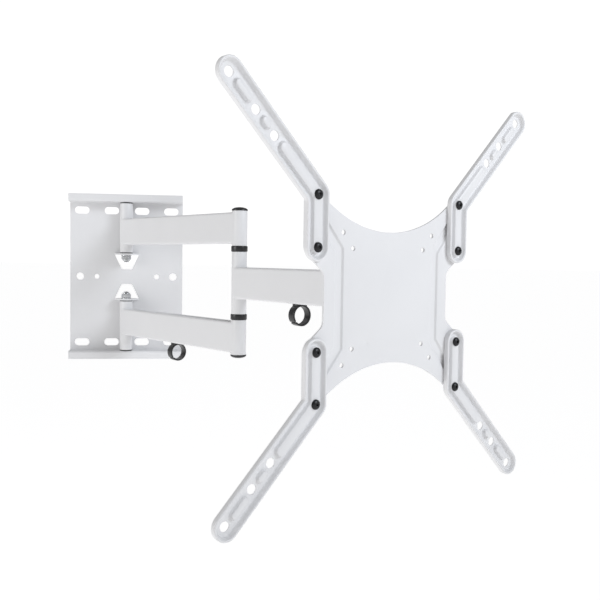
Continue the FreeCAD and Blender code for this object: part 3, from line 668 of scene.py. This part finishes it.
inner = heights("upper_wall_bush_inner")
upper_pieces = (
    ("wall_bush_outer", bush(*heights("upper_wall_bush_outer"), WALL_FLANGE), REAR),
    ("wall_bush_inner", turned_over(bush(*inner, WALL_FLANGE), *inner), REAR),
    ("wall_sleeve", sleeve(*heights("upper_wall_sleeve")), REAR),
    ("elbow_sleeve", sleeve(*heights("upper_elbow_sleeve")), REAR_ELBOW),
    ("elbow_plug", collar(CLEAR_R, SPIGOT_R, *heights("upper_elbow_plug"), 0.5), REAR_ELBOW),
    ("elbow_cap", cap(*heights("upper_elbow_cap")), REAR_ELBOW))
for level, sign in LEVELS:
    for name, surface, axes in upper_pieces:
        make_piece(f"{level}_{name}", flipped(surface, sign), axes)
both_levels("elbow_ring", bush, FRONT, RING_FLANGE, RING_R, 1.2)
both_levels("head_bush", bush, FRONT_HEAD, HEAD_FLANGE)
make_piece("front_elbow_sleeve", sleeve(*heights("front_elbow_sleeve")), FRONT)
make_piece("front_head_sleeve", sleeve(*heights("front_head_sleeve")), FRONT_HEAD)
print("elbow rings stand", RING_R - SLEEVE_R, "mm proud of the sleeves")

# %% [markdown]
# ## Elbow bolt
# A long socket head bolt hides inside the elbow. Its head is a plain cylinder with a hexagonal socket:
# rows of the same lathe grid, where the inner rows take their radius from a hexagon instead.

# %% Socket head and elbow bolt
def socketed(rows, flats):
    """Rows of (radius, height, hexness): the radius blends from a circle (0) to a hexagon (1)."""
    rows = np.asarray(rows, float)
    t = np.arange(TURNS) * 2 * np.pi / TURNS
    r = rows[:, :1] * (1 - rows[:, 2:]) + rows[:, 2:] * hex_radius(t + 2 * np.pi, flats)[None]
    points = np.stack([r * np.cos(t), r * np.sin(t), np.repeat(rows[:, 1:2], TURNS, 1)], -1)
    return points.reshape(-1, 3), [grid(len(rows), TURNS, False, True)]


ELBOW_HEAD = 8.0
ELBOW_THREAD = 20.0
elbow_tail, elbow_top = heights("elbow_bolt")
elbow_seat = elbow_top - ELBOW_HEAD
head_rows = [(0, elbow_seat, 0), (6.3, elbow_seat, 0), (6.5, elbow_seat + 0.2, 0), (6.5, elbow_top - 0.5, 0),
             (6.0, elbow_top, 0), (3.7, elbow_top, 0), (3.7, elbow_top - 0.3, 1), (3.7, elbow_top - 4, 1),
             (0, elbow_top - 4.6, 0)]
shank = rod(BOLT_R, elbow_tail + ELBOW_THREAD, elbow_seat + 0.1)
elbow_thread = threaded(BOLT_R, elbow_tail, elbow_tail + ELBOW_THREAD + 0.5, *M8_THREAD)
make_piece("elbow_bolt", joined(socketed(head_rows, 6.0), shank, elbow_thread), REAR_ELBOW)
make_piece("elbow_nut", lock_nut(*heights("elbow_nut")), REAR_ELBOW)
print(f"elbow bolt {elbow_top - elbow_tail:.0f} mm long")

# %% [markdown]
# ## Arms
# The arms are rectangular tube, as thick as the sleeves, cut to fit round them and welded. The tube is
# a rounded rectangle carried along x, and back along x as its lining, so the wall is closed at both
# ends. Each end follows the sleeve, x = sqrt(R^2 - y^2). A cube with a Bevel and a Boolean could look
# much the same. The formula is the choice here because each end is then one loop of points on the
# sleeve. A weld bead is a small round section carried round the sleeve.

# %% Beams and weld beads
TUBE_EDGE = 2.5
TUBE_WALL = 2.0
WELD_DEPTH = 0.3
WELD_R = 0.8
TANGENT_X = 0.7


def end_rows(lead, start, end, steps):
    """Positions and scales that carry a section from start to end and round off both ends."""
    q = np.linspace(0, np.pi / 2, 6)[:-1]
    first = start + lead * (1 - np.cos(q))
    last = end - lead * (1 - np.cos(q))
    middle = np.linspace(start + lead, end - lead, steps)
    ones = np.ones(steps)
    return np.concatenate([first, middle, last[::-1]]), np.concatenate([np.sin(q), ones, np.sin(q)[::-1]])


def arc_bar(section, radius, start, end, lead, steps=48, ripple=0.0):
    """A closed section (r, h) carried round z between two angles in degrees, with rounded ends.

    ripple swells and thins it 1.4 times a millimetre, as weld beads do.
    """
    section = np.asarray(section, float)
    angles, scales = end_rows(lead / radius, math.radians(start), math.radians(end), steps)
    scales = scales * (1 + ripple * np.sin(1.4 * 2 * np.pi * radius * angles))
    middle = section.mean(0)
    part = middle + scales[:, None, None] * (section - middle)
    r = radius + part[..., 0]
    angle = angles[:, None]
    points = np.stack([r * np.cos(angle), r * np.sin(angle), part[..., 1]], -1)
    return points.reshape(-1, 3), [grid(len(angles), len(section), False, True)]


def straight_bar(section, start, end, lead, steps=2):
    """A closed section (y, z) carried along x, with rounded ends."""
    section = np.asarray(section, float)
    places, scales = end_rows(lead, start, end, steps)
    middle = section.mean(0)
    part = middle + scales[:, None, None] * (section - middle)
    x = np.repeat(places[:, None], len(section), 1)
    points = np.concatenate([x[..., None], part], -1)
    return points.reshape(-1, 3), [grid(len(places), len(section), False, True)]


def beam(length, low, high):
    """Rectangular tube between two sleeves: a skin of points p and a lining of p + (c - p) wall / r.

    c is the point of the straight-sided core nearest to p, and r is the radius of the tube's edges.
    """
    half = SLEEVE_R
    outline = rounded(rectangle(-half, half, low, high), TUBE_EDGE, 6)
    skin = divided(outline, 2.0)
    core = np.clip(skin, (TUBE_EDGE - half, low + TUBE_EDGE), (half - TUBE_EDGE, high - TUBE_EDGE))
    lining = skin + (core - skin) * TUBE_WALL / TUBE_EDGE
    rows = []
    for section, near_end in ((skin, True), (skin, False), (lining, False), (lining, True)):
        y, z = section.T
        reach = np.sqrt(np.maximum((SLEEVE_R - WELD_DEPTH) ** 2 - y ** 2, TANGENT_X ** 2))
        rows.append(np.column_stack([reach if near_end else length - reach, y, z]))
    return np.concatenate(rows), [grid(len(rows), len(skin), True, True)]


def weld_beads(length, low, high):
    """Four beads where a beam's top and bottom meet its two sleeves, dipping over its rounded edges."""
    beads = []
    for z, sign in ((low, -1), (high, 1)):
        points, faces = arc_bar(circle(0, z, WELD_R, 12), SLEEVE_R, -70, 70, 1.0, ripple=0.08)
        y = SLEEVE_R * np.abs(np.sin(np.arctan2(points[:, 1], points[:, 0])))
        over = np.clip(y - SLEEVE_R + TUBE_EDGE, 0, TUBE_EDGE)
        points[:, 2] -= sign * (TUBE_EDGE - np.sqrt(TUBE_EDGE ** 2 - over ** 2))
        beads.append((points, faces))
        beads.append((points * (-1, 1, 1) + (length, 0, 0), faces))
    return joined(*beads)


for node, length, axes in (("upper_rear_beam", REAR_LENGTH, REAR), ("lower_rear_beam", REAR_LENGTH, REAR),
                           ("front_beam", FRONT_LENGTH, FRONT)):
    levels = heights(node)
    make_piece(node, joined(beam(length, *levels), weld_beads(length, *levels)), axes)
print(f"beams {2 * SLEEVE_R:.0f} mm thick and {np.ptp(heights('front_beam')):.0f} mm tall")

# %% [markdown]
# ## Cable clips
# A clip is an open moulded loop that snaps into a hole under the beam. The cable is pressed in through
# the narrow mouth. It is the weld bead's function again, with a flat rounded section and a longer arc.

# %% Cable clips
CLIP_R = 12.8
CLIP_WALL = 2.3
CLIP_HALF_L = 5.5
MOUTH_ANGLE = 222.0
MOUTH_HALF = 2.2


def cable_clip(at, under):
    """Open loop about an axis along the beam, and the pad that sits against the beam's underside."""
    half = CLIP_WALL / 2
    section = rounded(rectangle(-half, half, -CLIP_HALF_L, CLIP_HALF_L), 0.8, 5)
    loop, loop_faces = arc_bar(section, CLIP_R - half, MOUTH_ANGLE + MOUTH_HALF,
                               MOUTH_ANGLE + 360 - MOUTH_HALF, 0.8, steps=72)
    centre = under - CLIP_R - 0.5
    loop = loop[:, [2, 0, 1]] + (at, 0, centre)
    pad = rounded(rectangle(-7, 7, centre + 10.8, under), 0.6, 4)
    peg, peg_faces = rod(2.3, under - 0.5, under + 3.0)
    return joined((loop, loop_faces), straight_bar(pad, at - CLIP_HALF_L, at + CLIP_HALF_L, 0.6),
                  (peg + (at, 0, 0), peg_faces))


def along(axes, node):
    """How far along a link's x the middle of a CAD node lies."""
    low, high = node_box(node)
    return float(axes[1][0] @ ((low + high) / 2 - axes[0]))


for node, over, axes in (("rear_cable_clip", "lower_rear_beam", REAR),
                         ("front_cable_clip", "front_beam", FRONT)):
    make_piece(node, cable_clip(along(axes, node), heights(over)[0]), axes)
print(f"clips take a bundle up to {2 * (CLIP_R - CLIP_WALL):.0f} mm across")

# %% [markdown]
# ## Head
# Behind the screen plate a yoke of 3 mm steel swivels on the front arm's sleeve. A channel is welded to
# its front and a bracket to the screen plate, and the ears of the two turn on one tilt bolt, with thin
# friction washers between them. All three are folded blanks, so the fold function makes them too.

# %% Yoke, channel and bracket
HEAD_SHEET = 3.0
FRICTION = 1.5
YOKE_R = 13.0
YOKE_HALF = 20.0
YOKE_FLARE = 16.0
YOKE_REACH = 22.0
TILT_EAR_R = 9.5
CHANNEL_HALF_H = 22.0
BRACKET_HALF_H = 30.0
PANEL_FRONT_Y = -56.0
PLATE_SHEET = 2.5


def eared_outline(length, ear_r, root_v, root_half):
    """A blank with a round ear at both ends of v that widens to its root."""
    half = np.concatenate([arc_points(0, ear_r, ear_r, -90, 0, 16), [(root_half, root_v)]])
    right = np.concatenate([half, half[::-1] * (1, -1) + (0, length)])
    return np.concatenate([right, right[-2:0:-1] * (-1, 1)])


def eared(path_corners, plane, ear_r, root_v, root_half, thickness=HEAD_SHEET):
    """A folded blank with an ear and a bolt hole at each end."""
    path = fold(path_corners, BEND, thickness)
    length = path[0][-1]
    holes = [circle(0, v, CLEAR_R) for v in (ear_r, length - ear_r)]
    return folded(path, thickness, plane, eared_outline(length, ear_r, root_v, root_half), holes)


half_sheet = HEAD_SHEET / 2
yoke_z = heights("swivel_yoke")[1] - half_sheet
web_y = -YOKE_REACH - half_sheet
yoke = eared([(YOKE_R, yoke_z), (web_y, yoke_z), (web_y, -yoke_z), (YOKE_R, -yoke_z)], "yz",
             YOKE_R, YOKE_R + YOKE_FLARE, YOKE_HALF)
make_piece("swivel_yoke", yoke, HEAD, edge=SHEET_EDGE)
channel_x = YOKE_HALF - half_sheet
channel_y = web_y - HEAD_SHEET
ear_y = TILT_Y - TILT_EAR_R
channel = eared([(-channel_x, ear_y), (-channel_x, channel_y), (channel_x, channel_y), (channel_x, ear_y)],
                "xy", TILT_EAR_R, channel_y - half_sheet - ear_y, CHANNEL_HALF_H)
make_piece("tilt_channel", channel, HEAD, edge=SHEET_EDGE)
panel_back = PANEL_FRONT_Y + PLATE_SHEET
bracket_x = YOKE_HALF + FRICTION + half_sheet
bracket_y = panel_back + half_sheet
ear_y = TILT_Y + TILT_EAR_R
bracket = eared([(-bracket_x, ear_y), (-bracket_x, bracket_y), (bracket_x, bracket_y), (bracket_x, ear_y)],
                "xy", TILT_EAR_R, ear_y - panel_back - HEAD_SHEET, BRACKET_HALF_H)
make_piece("panel_bracket", bracket, HEAD, edge=SHEET_EDGE)
print(f"tilt ears turn {-TILT_Y:.0f} mm in front of the swivel axis")

# %% Head fasteners
NUT_H = 8.0
TAIL_PAST_NUT = 2.0
make_piece("head_bolt", bolt(*heights("head_bolt")), HEAD)
make_piece("head_washer", washer(*heights("head_washer")), HEAD)
make_piece("head_nut", lock_nut(*heights("head_nut")), HEAD)


def laid(surface):
    """An upright fastener turned so that its top points along -x, on the tilt axis."""
    points, faces = surface
    return points[:, [2, 1, 0]] * (-1, 1, 1) + (0, TILT_Y, 0), faces


bracket_out = bracket_x + half_sheet
tilt_seat = bracket_out + WASHER
tilt_tail = -(tilt_seat + NUT_H + TAIL_PAST_NUT)
tilt_top = tilt_seat + BOLT_HEAD
friction = washer(YOKE_HALF, YOKE_HALF + FRICTION, inner=BOLT_R + 0.05)
make_piece("tilt_bolt", laid(bolt(tilt_tail, tilt_top)), HEAD)
make_piece("tilt_nut", laid(lock_nut(-tilt_seat - NUT_H, -tilt_seat)), HEAD)
make_piece("tilt_washers", laid(mirrored_pair(washer(bracket_out, tilt_seat))), HEAD)
make_piece("friction_washers", laid(mirrored_pair(friction)), HEAD)
print(f"tilt bolt {tilt_top - tilt_tail:.0f} mm long")

# %% [markdown]
# ## Screen plate
# The butterfly plate takes the screen's four inner screws or the extension arms. Two channels pressed
# into it keep it stiff. A pressing moves the sheet but keeps its thickness, so both faces are the same
# flat blank pushed back by one function of the distance from the channel's centre line. The blank's
# triangles keep to loops at a few such distances, which puts points only where the sheet bends.

# %% Pressed sheet
def distance_to(points, path, closed=False):
    """Distance of each point from a path of straight runs."""
    path = np.asarray(path, float)
    nearest = np.full(len(points), np.inf)
    for a, b in zip(path if closed else path[:-1], np.roll(path, -1, 0)):
        share = np.clip((points - a) @ (b - a) / ((b - a) @ (b - a)), 0, 1)
        nearest = np.minimum(nearest, np.linalg.norm(points - a - share[:, None] * (b - a), axis=1))
    return nearest


def strip_outline(path, half, inner=0.0, steps=10):
    """All within half a width of a path: offset sides, round ends and outer bends, mitred inner bends."""
    path = np.asarray(path, float)
    run = np.diff(path, axis=0)
    run /= np.linalg.norm(run, axis=1)[:, None]
    left = np.column_stack([-run[:, 1], run[:, 0]])
    mitre = (left[:-1] + left[1:]) / (1 + (left[:-1] * left[1:]).sum(1))[:, None]
    turns_left = run[:-1, 0] * run[1:, 1] - run[:-1, 1] * run[1:, 0] > 0
    first = path[0] - half * run[0]
    last = path[-1] + half * run[-1]
    round_r = 0.999 * half
    corners = [first - half * left[0], *(path[1:-1] - half * mitre), last - half * left[-1],
               last + half * left[-1], *(path[1:-1] + half * mitre)[::-1], first + half * left[0]]
    radii = [round_r, *np.where(turns_left, round_r, inner), round_r,
             round_r, *np.where(turns_left, inner, round_r)[::-1], round_r]
    return divided(rounded(corners, radii, steps))


def smooth(share):
    """Goes from 0 to 1 with level ends: 3 s^2 - 2 s^3."""
    share = np.clip(share, 0, 1)
    return share * share * (3 - 2 * share)


def standing(flat, y):
    """Flat points (x, z) stood up at a depth y."""
    return np.column_stack([flat[:, 0], np.broadcast_to(y, len(flat)), flat[:, 1]])


print("a smooth step is half way at", smooth(0.5))

# %% Screen plate
PRESS_DEPTH = 2.0
PRESS_HALF = 6.2
PRESS_WALL = 2.6
LOBE = 100.0
LOBE_R = 12.0
LOBE_FOOT = 45.6
WAIST_X = 87.5
WAIST_Z = 25.8
WAIST_R = 10.0
ARCH_R = 140.0
ARCH_LOW = 67.0
MARK_R = 2.8
MARK_WALL = 0.8
MARK_DEPTH = 0.15
SCREEN_HOLES = ((50.0, 50.0, 2.5), (63.0, 65.5, 2.5), (LOBE, 50.0, 2.8), (LOBE, LOBE, 2.8))
arch_z = ARCH_LOW + ARCH_R
channel_path = np.array([(90.0, 75.0), (68.0, 48.0), (68.0, -48.0), (90.0, -75.0)])
weld_marks = ((2.5, 50.4), (-30.5, -45.0))


def plate_quarter():
    """The outline from the middle of the right side, round the lobe, to the middle of the arch."""
    side = rounded([(WAIST_X, 0), (WAIST_X, WAIST_Z), (LOBE + LOBE_R, LOBE_FOOT), (LOBE + LOBE_R, LOBE)],
                   (0, WAIST_R, LOBE_R, 0), 8, closed=False)
    between = np.array([-LOBE, arch_z - LOBE])
    apart = np.linalg.norm(between)
    along_it = (apart ** 2 + LOBE_R ** 2 - ARCH_R ** 2) / (2 * apart)
    off_it = math.sqrt(LOBE_R ** 2 - along_it ** 2)
    turn = math.atan2(between[1], between[0]) - math.atan2(off_it, along_it)
    lobe = arc_points(LOBE, LOBE, LOBE_R, 0, math.degrees(turn), 10)[1:]
    start = math.degrees(math.atan2(lobe[-1, 1] - arch_z, lobe[-1, 0]))
    return np.concatenate([side, lobe, arc_points(0, arch_z, ARCH_R, start, -90, 40)[1:]])


quarter = plate_quarter()
upper_half = np.concatenate([quarter, quarter[-2::-1] * (-1, 1)])
screen_outline = np.concatenate([upper_half, upper_half[-2:0:-1] * (1, -1)])
screen_holes = [circle(side * x, up * z, radius, 24) for side in (-1, 1) for up in (-1, 1)
                for x, z, radius in SCREEN_HOLES]
press_rings = [strip_outline(channel_path * (side, 1), PRESS_HALF - PRESS_WALL * share)
               for side in (-1, 1) for share in np.linspace(0, 1, 8)]
mark_rings = [circle(*mark, radius, 20) for mark in weld_marks for radius in (2.0, 2.4, MARK_R)]


def pressed(flat):
    """How far back each point of the blank is pushed: the two channels and two faint weld marks."""
    to_channel = np.minimum(distance_to(flat, channel_path), distance_to(flat * (-1, 1), channel_path))
    depth = PRESS_DEPTH * smooth((PRESS_HALF - to_channel) / PRESS_WALL)
    for mark in weld_marks:
        inward = MARK_R - np.linalg.norm(flat - mark, axis=1)
        depth = depth + MARK_DEPTH * smooth(inward / MARK_WALL)
    return depth


flat, triangles = blank(screen_outline, screen_holes, press_rings + mark_rings)
screen_plate = sheet(flat, triangles, lambda flat: standing(flat, pressed(flat)),
                     lambda flat: standing(flat, PLATE_SHEET + pressed(flat)))
make_piece("screen_plate", screen_plate, PANEL, edge=0.3, crease=42)
print(f"screen plate {2 * (LOBE + LOBE_R):.0f} mm wide from {len(triangles)} triangles a side")

# %% [markdown]
# ## Extension arms
# Four pressed arms widen the plate for larger screens. Each has a raised rim, a floor with three holes,
# and raised ribs between them. It is the same idea as the screen plate with a richer function: height
# against the distance from the outline for the rim, and against the distance from a line for each rib.

# %% Extension arms
ARM_HALF = 13.5
ARM_DEPTH = 6.0
ARM_EDGE = 1.2
FLOOR = 1.5
RIM = 1.7
RIM_WALL = 3.6
RIB_TOP = 5.0
RIB_WALL = 2.2
RIB_LEAN = 0.2
INNER_BEND = 4.0
HOLE_R = 4.75
HOLE_EDGE = 0.45
HOLE_AT = (200.0, 171.0, 150.0)
SCREW_HOLE = 2.8
arm_path = [(100.0, 50.0), (100.0, 100.0), (200.0, 200.0)]
rib_paths = [(arm_path[:2] + [(139.9, 139.9)], 6.25), ([(191.13, 191.13), (179.87, 179.87)], 4.5),
             ([(162.13, 162.13), (158.87, 158.87)], 4.5)]
arm_outline = strip_outline(arm_path, ARM_HALF, INNER_BEND, 16)


def eased(distance, radius):
    """Drop of an edge rounded to a radius, at a distance in from the side: r - sqrt(r^2 - (r - d)^2)."""
    inward = np.clip(radius - distance, 0, radius)
    return radius - np.sqrt(radius ** 2 - inward ** 2)


def hole_distance(flat):
    """Distance out from the nearest hole's edge."""
    return np.min([np.linalg.norm(flat - at, axis=1) - HOLE_R for at in HOLE_AT], axis=0)


def rib_height(flat, inset):
    """Height of the ribs over the floor, with their walls drawn in by an inset."""
    share = [smooth((half - inset - distance_to(flat, path)) / RIB_WALL + RIB_LEAN)
             for path, half in rib_paths]
    return (RIB_TOP - FLOOR) * np.max(share, axis=0)


def arm_front(flat):
    inset = distance_to(flat, arm_outline, closed=True)
    rim = (ARM_DEPTH - FLOOR) * (1 - smooth((inset - RIM) / RIM_WALL)) - eased(inset, ARM_EDGE)
    height = FLOOR + np.maximum(rim, rib_height(flat, 0.0)) - eased(hole_distance(flat), HOLE_EDGE)
    return standing(flat, -height)


def arm_back(flat):
    inset = distance_to(flat, arm_outline, closed=True)
    lift = eased(inset, HOLE_EDGE) + eased(hole_distance(flat), HOLE_EDGE)
    return standing(flat, -lift - rib_height(flat, FLOOR))


edge_insets = ARM_EDGE * (1 - np.cos(np.linspace(0, np.pi / 2, 6)[1:]))
wall_insets = RIM + RIM_WALL * np.linspace(0, 1, 11)
arm_rings = [strip_outline(arm_path, ARM_HALF - inset, INNER_BEND + inset, 16)
             for inset in (*edge_insets, *wall_insets)]
for path, half in rib_paths:
    walls = half + RIB_LEAN * RIB_WALL - RIB_WALL * np.linspace(0, 1, 8)
    arm_rings += [strip_outline(path, offset, steps=8) for offset in walls]
hole_loops = [circle(at, at, HOLE_R, 40) for at in HOLE_AT]
arm_rings += [circle(at, at, HOLE_R + HOLE_EDGE * share, 40)
              for at in HOLE_AT for share in (0.08, 0.3, 0.6, 1)]
screw_loops = [circle(x, z, SCREW_HOLE, 20) for x, z in arm_path[:2]]
arm_flat, arm_triangles = blank(arm_outline, hole_loops + screw_loops, arm_rings)
arm_points, arm_faces = sheet(arm_flat, arm_triangles, arm_front, arm_back)
sides = [(level, hand, np.array([side, 1, up])) for level, up in LEVELS
         for hand, side in (("left", -1), ("right", 1))]
for level, hand, mirror in sides:
    make_piece(f"extension_arm_{level}_{hand}", (arm_points * mirror, arm_faces), PANEL, crease=50)
print(f"each arm: {len(arm_triangles)} triangles a side")

# %% Arm screws and nuts
SCREW_R = 2.5
SCREW_HEAD_R = 5.0
SCREW_TOP = 7.9
SCREW_TAIL = -7.5
dome_t = np.radians(np.linspace(0, 62, 10))
dome_h = SCREW_TOP - RIB_TOP - 0.5
dome_rows = [(SCREW_HEAD_R * math.cos(t), RIB_TOP + 0.5 + dome_h * math.sin(t) / math.sin(dome_t[-1]), 0)
             for t in dome_t]
screw_rows = [(0, RIB_TOP, 0), (4.8, RIB_TOP, 0), (SCREW_HEAD_R, RIB_TOP + 0.2, 0), *dome_rows,
              (1.95, SCREW_TOP, 0), (1.7, SCREW_TOP - 0.25, 1), (1.7, SCREW_TOP - 1.6, 1),
              (0, SCREW_TOP - 2.1, 0)]


def facing(surface, x, z):
    """An upright fastener turned to point forward, (x, y, z) to (x, -z, y), and moved to its hole."""
    points, faces = surface
    return points[:, [0, 2, 1]] * (1, -1, 1) + (x, 0, z), faces


screw = joined(socketed(screw_rows, 3.0), rod(SCREW_R, -1, RIB_TOP + 0.1),
               threaded(SCREW_R, SCREW_TAIL, -0.9, 0.8, 0.4))
nut = lock_nut(-PLATE_SHEET - 4.0, -PLATE_SHEET, flats=8.0, bore=2.53, collar_h=1.2, collar_r=3.6)
for level, hand, mirror in sides:
    spots = [(x * mirror[0], z * mirror[2]) for x, z in arm_path[:2]]
    make_piece(f"arm_screws_{level}_{hand}", joined(*(facing(screw, *spot) for spot in spots)), PANEL)
    make_piece(f"arm_nuts_{level}_{hand}", joined(*(facing(nut, *spot) for spot in spots)), PANEL)
print("pieces that pass their CAD node's box:", outside or "none")

# %% [markdown]
# ## Light, floor and camera
# A soft key light high on the right and a broad fill model the white paint without hard shadows. The
# pale floor lies well below, because a wall mount stands on nothing. The camera has a normal lens and
# stands to the left of the screen plate, about 0.85 m from it.

# %% Floor, world and lights
WHITE = (1, 1, 1, 1)
FLOOR_R = 150.0
FLOOR_Z = -1.2
SKY_LIGHT = 0.31
BACKDROP_LIGHT = 1.05
floor_mesh = bpy.data.meshes.new("floor")
floor_rim = circle(0, 0, FLOOR_R, 64)
floor_mesh.from_pydata(np.column_stack([floor_rim, np.full(64, FLOOR_Z)]), [], [range(64)])
floor = added("floor", floor_mesh)
paper = bpy.data.materials.new("pale_paper")
paper.use_nodes = True
set_inputs(paper.node_tree.nodes["Principled BSDF"],
           {"Base Color": (0.86, 0.86, 0.87, 1), "Roughness": 0.9,
            "Emission Color": WHITE, "Emission Strength": 0.72})
floor_mesh.materials.append(paper)

world = bpy.data.worlds.new("studio")
bpy.context.scene.world = world
world.use_nodes = True
nodes = world.node_tree.nodes
links = world.node_tree.links
around = set_inputs(nodes["Background"], {"Color": WHITE, "Strength": SKY_LIGHT})
backdrop = set_inputs(nodes.new("ShaderNodeBackground"), {"Color": WHITE, "Strength": BACKDROP_LIGHT})
seen = nodes.new("ShaderNodeLightPath")
choose = nodes.new("ShaderNodeMixShader")
links.new(seen.outputs["Is Camera Ray"], choose.inputs["Fac"])
links.new(around.outputs["Background"], choose.inputs[1])
links.new(backdrop.outputs["Background"], choose.inputs[2])
links.new(choose.outputs["Shader"], nodes["World Output"].inputs["Surface"])


def soft_light(name, place, aim, size, power, spread=180, colour=(1, 1, 1)):
    """A square area light at a place in metres, turned to face a point. spread narrows it, in degrees."""
    data = bpy.data.lights.new(name, "AREA")
    data.shape = "SQUARE"
    data.size = size
    data.energy = power
    data.spread = math.radians(spread)
    data.color = colour
    facing_aim = (Vector(aim) - Vector(place)).to_track_quat("-Z", "Y").to_matrix().to_4x4()
    added(name, data).matrix_world = Matrix.Translation(place) @ facing_aim


soft_light("key", (1.6, -1.5, 0.95), (0.36, -0.45, 0.12), 0.9, 2.5, 50, (0.90, 0.94, 1.0))
soft_light("fill", (-2.4, -1.2, 0.6), (-0.1, -0.1, 0.0), 1.2, 24.0)
print("lights:", [item.name for item in bpy.data.lights])

# %% Camera
CAMERA_PLACE = (0.09475, -1.35369, 0.03225)
CAMERA_HEADING = -7.965
CAMERA_DOWN = 2.856
CAMERA_ROLL = 0.816
camera_data = bpy.data.cameras.new("camera")
camera_data.lens = 49.08
camera_data.sensor_width = 36.0
camera = added("camera", camera_data)
pose = Matrix.Translation(CAMERA_PLACE)
for angle, axis in ((CAMERA_HEADING, "Z"), (90 - CAMERA_DOWN, "X"), (CAMERA_ROLL, "Z")):
    pose = pose @ Matrix.Rotation(math.radians(angle), 4, axis)
camera.matrix_world = pose
bpy.context.scene.camera = camera
bpy.context.scene.view_settings.view_transform = "Standard"
print("camera at", CAMERA_PLACE)
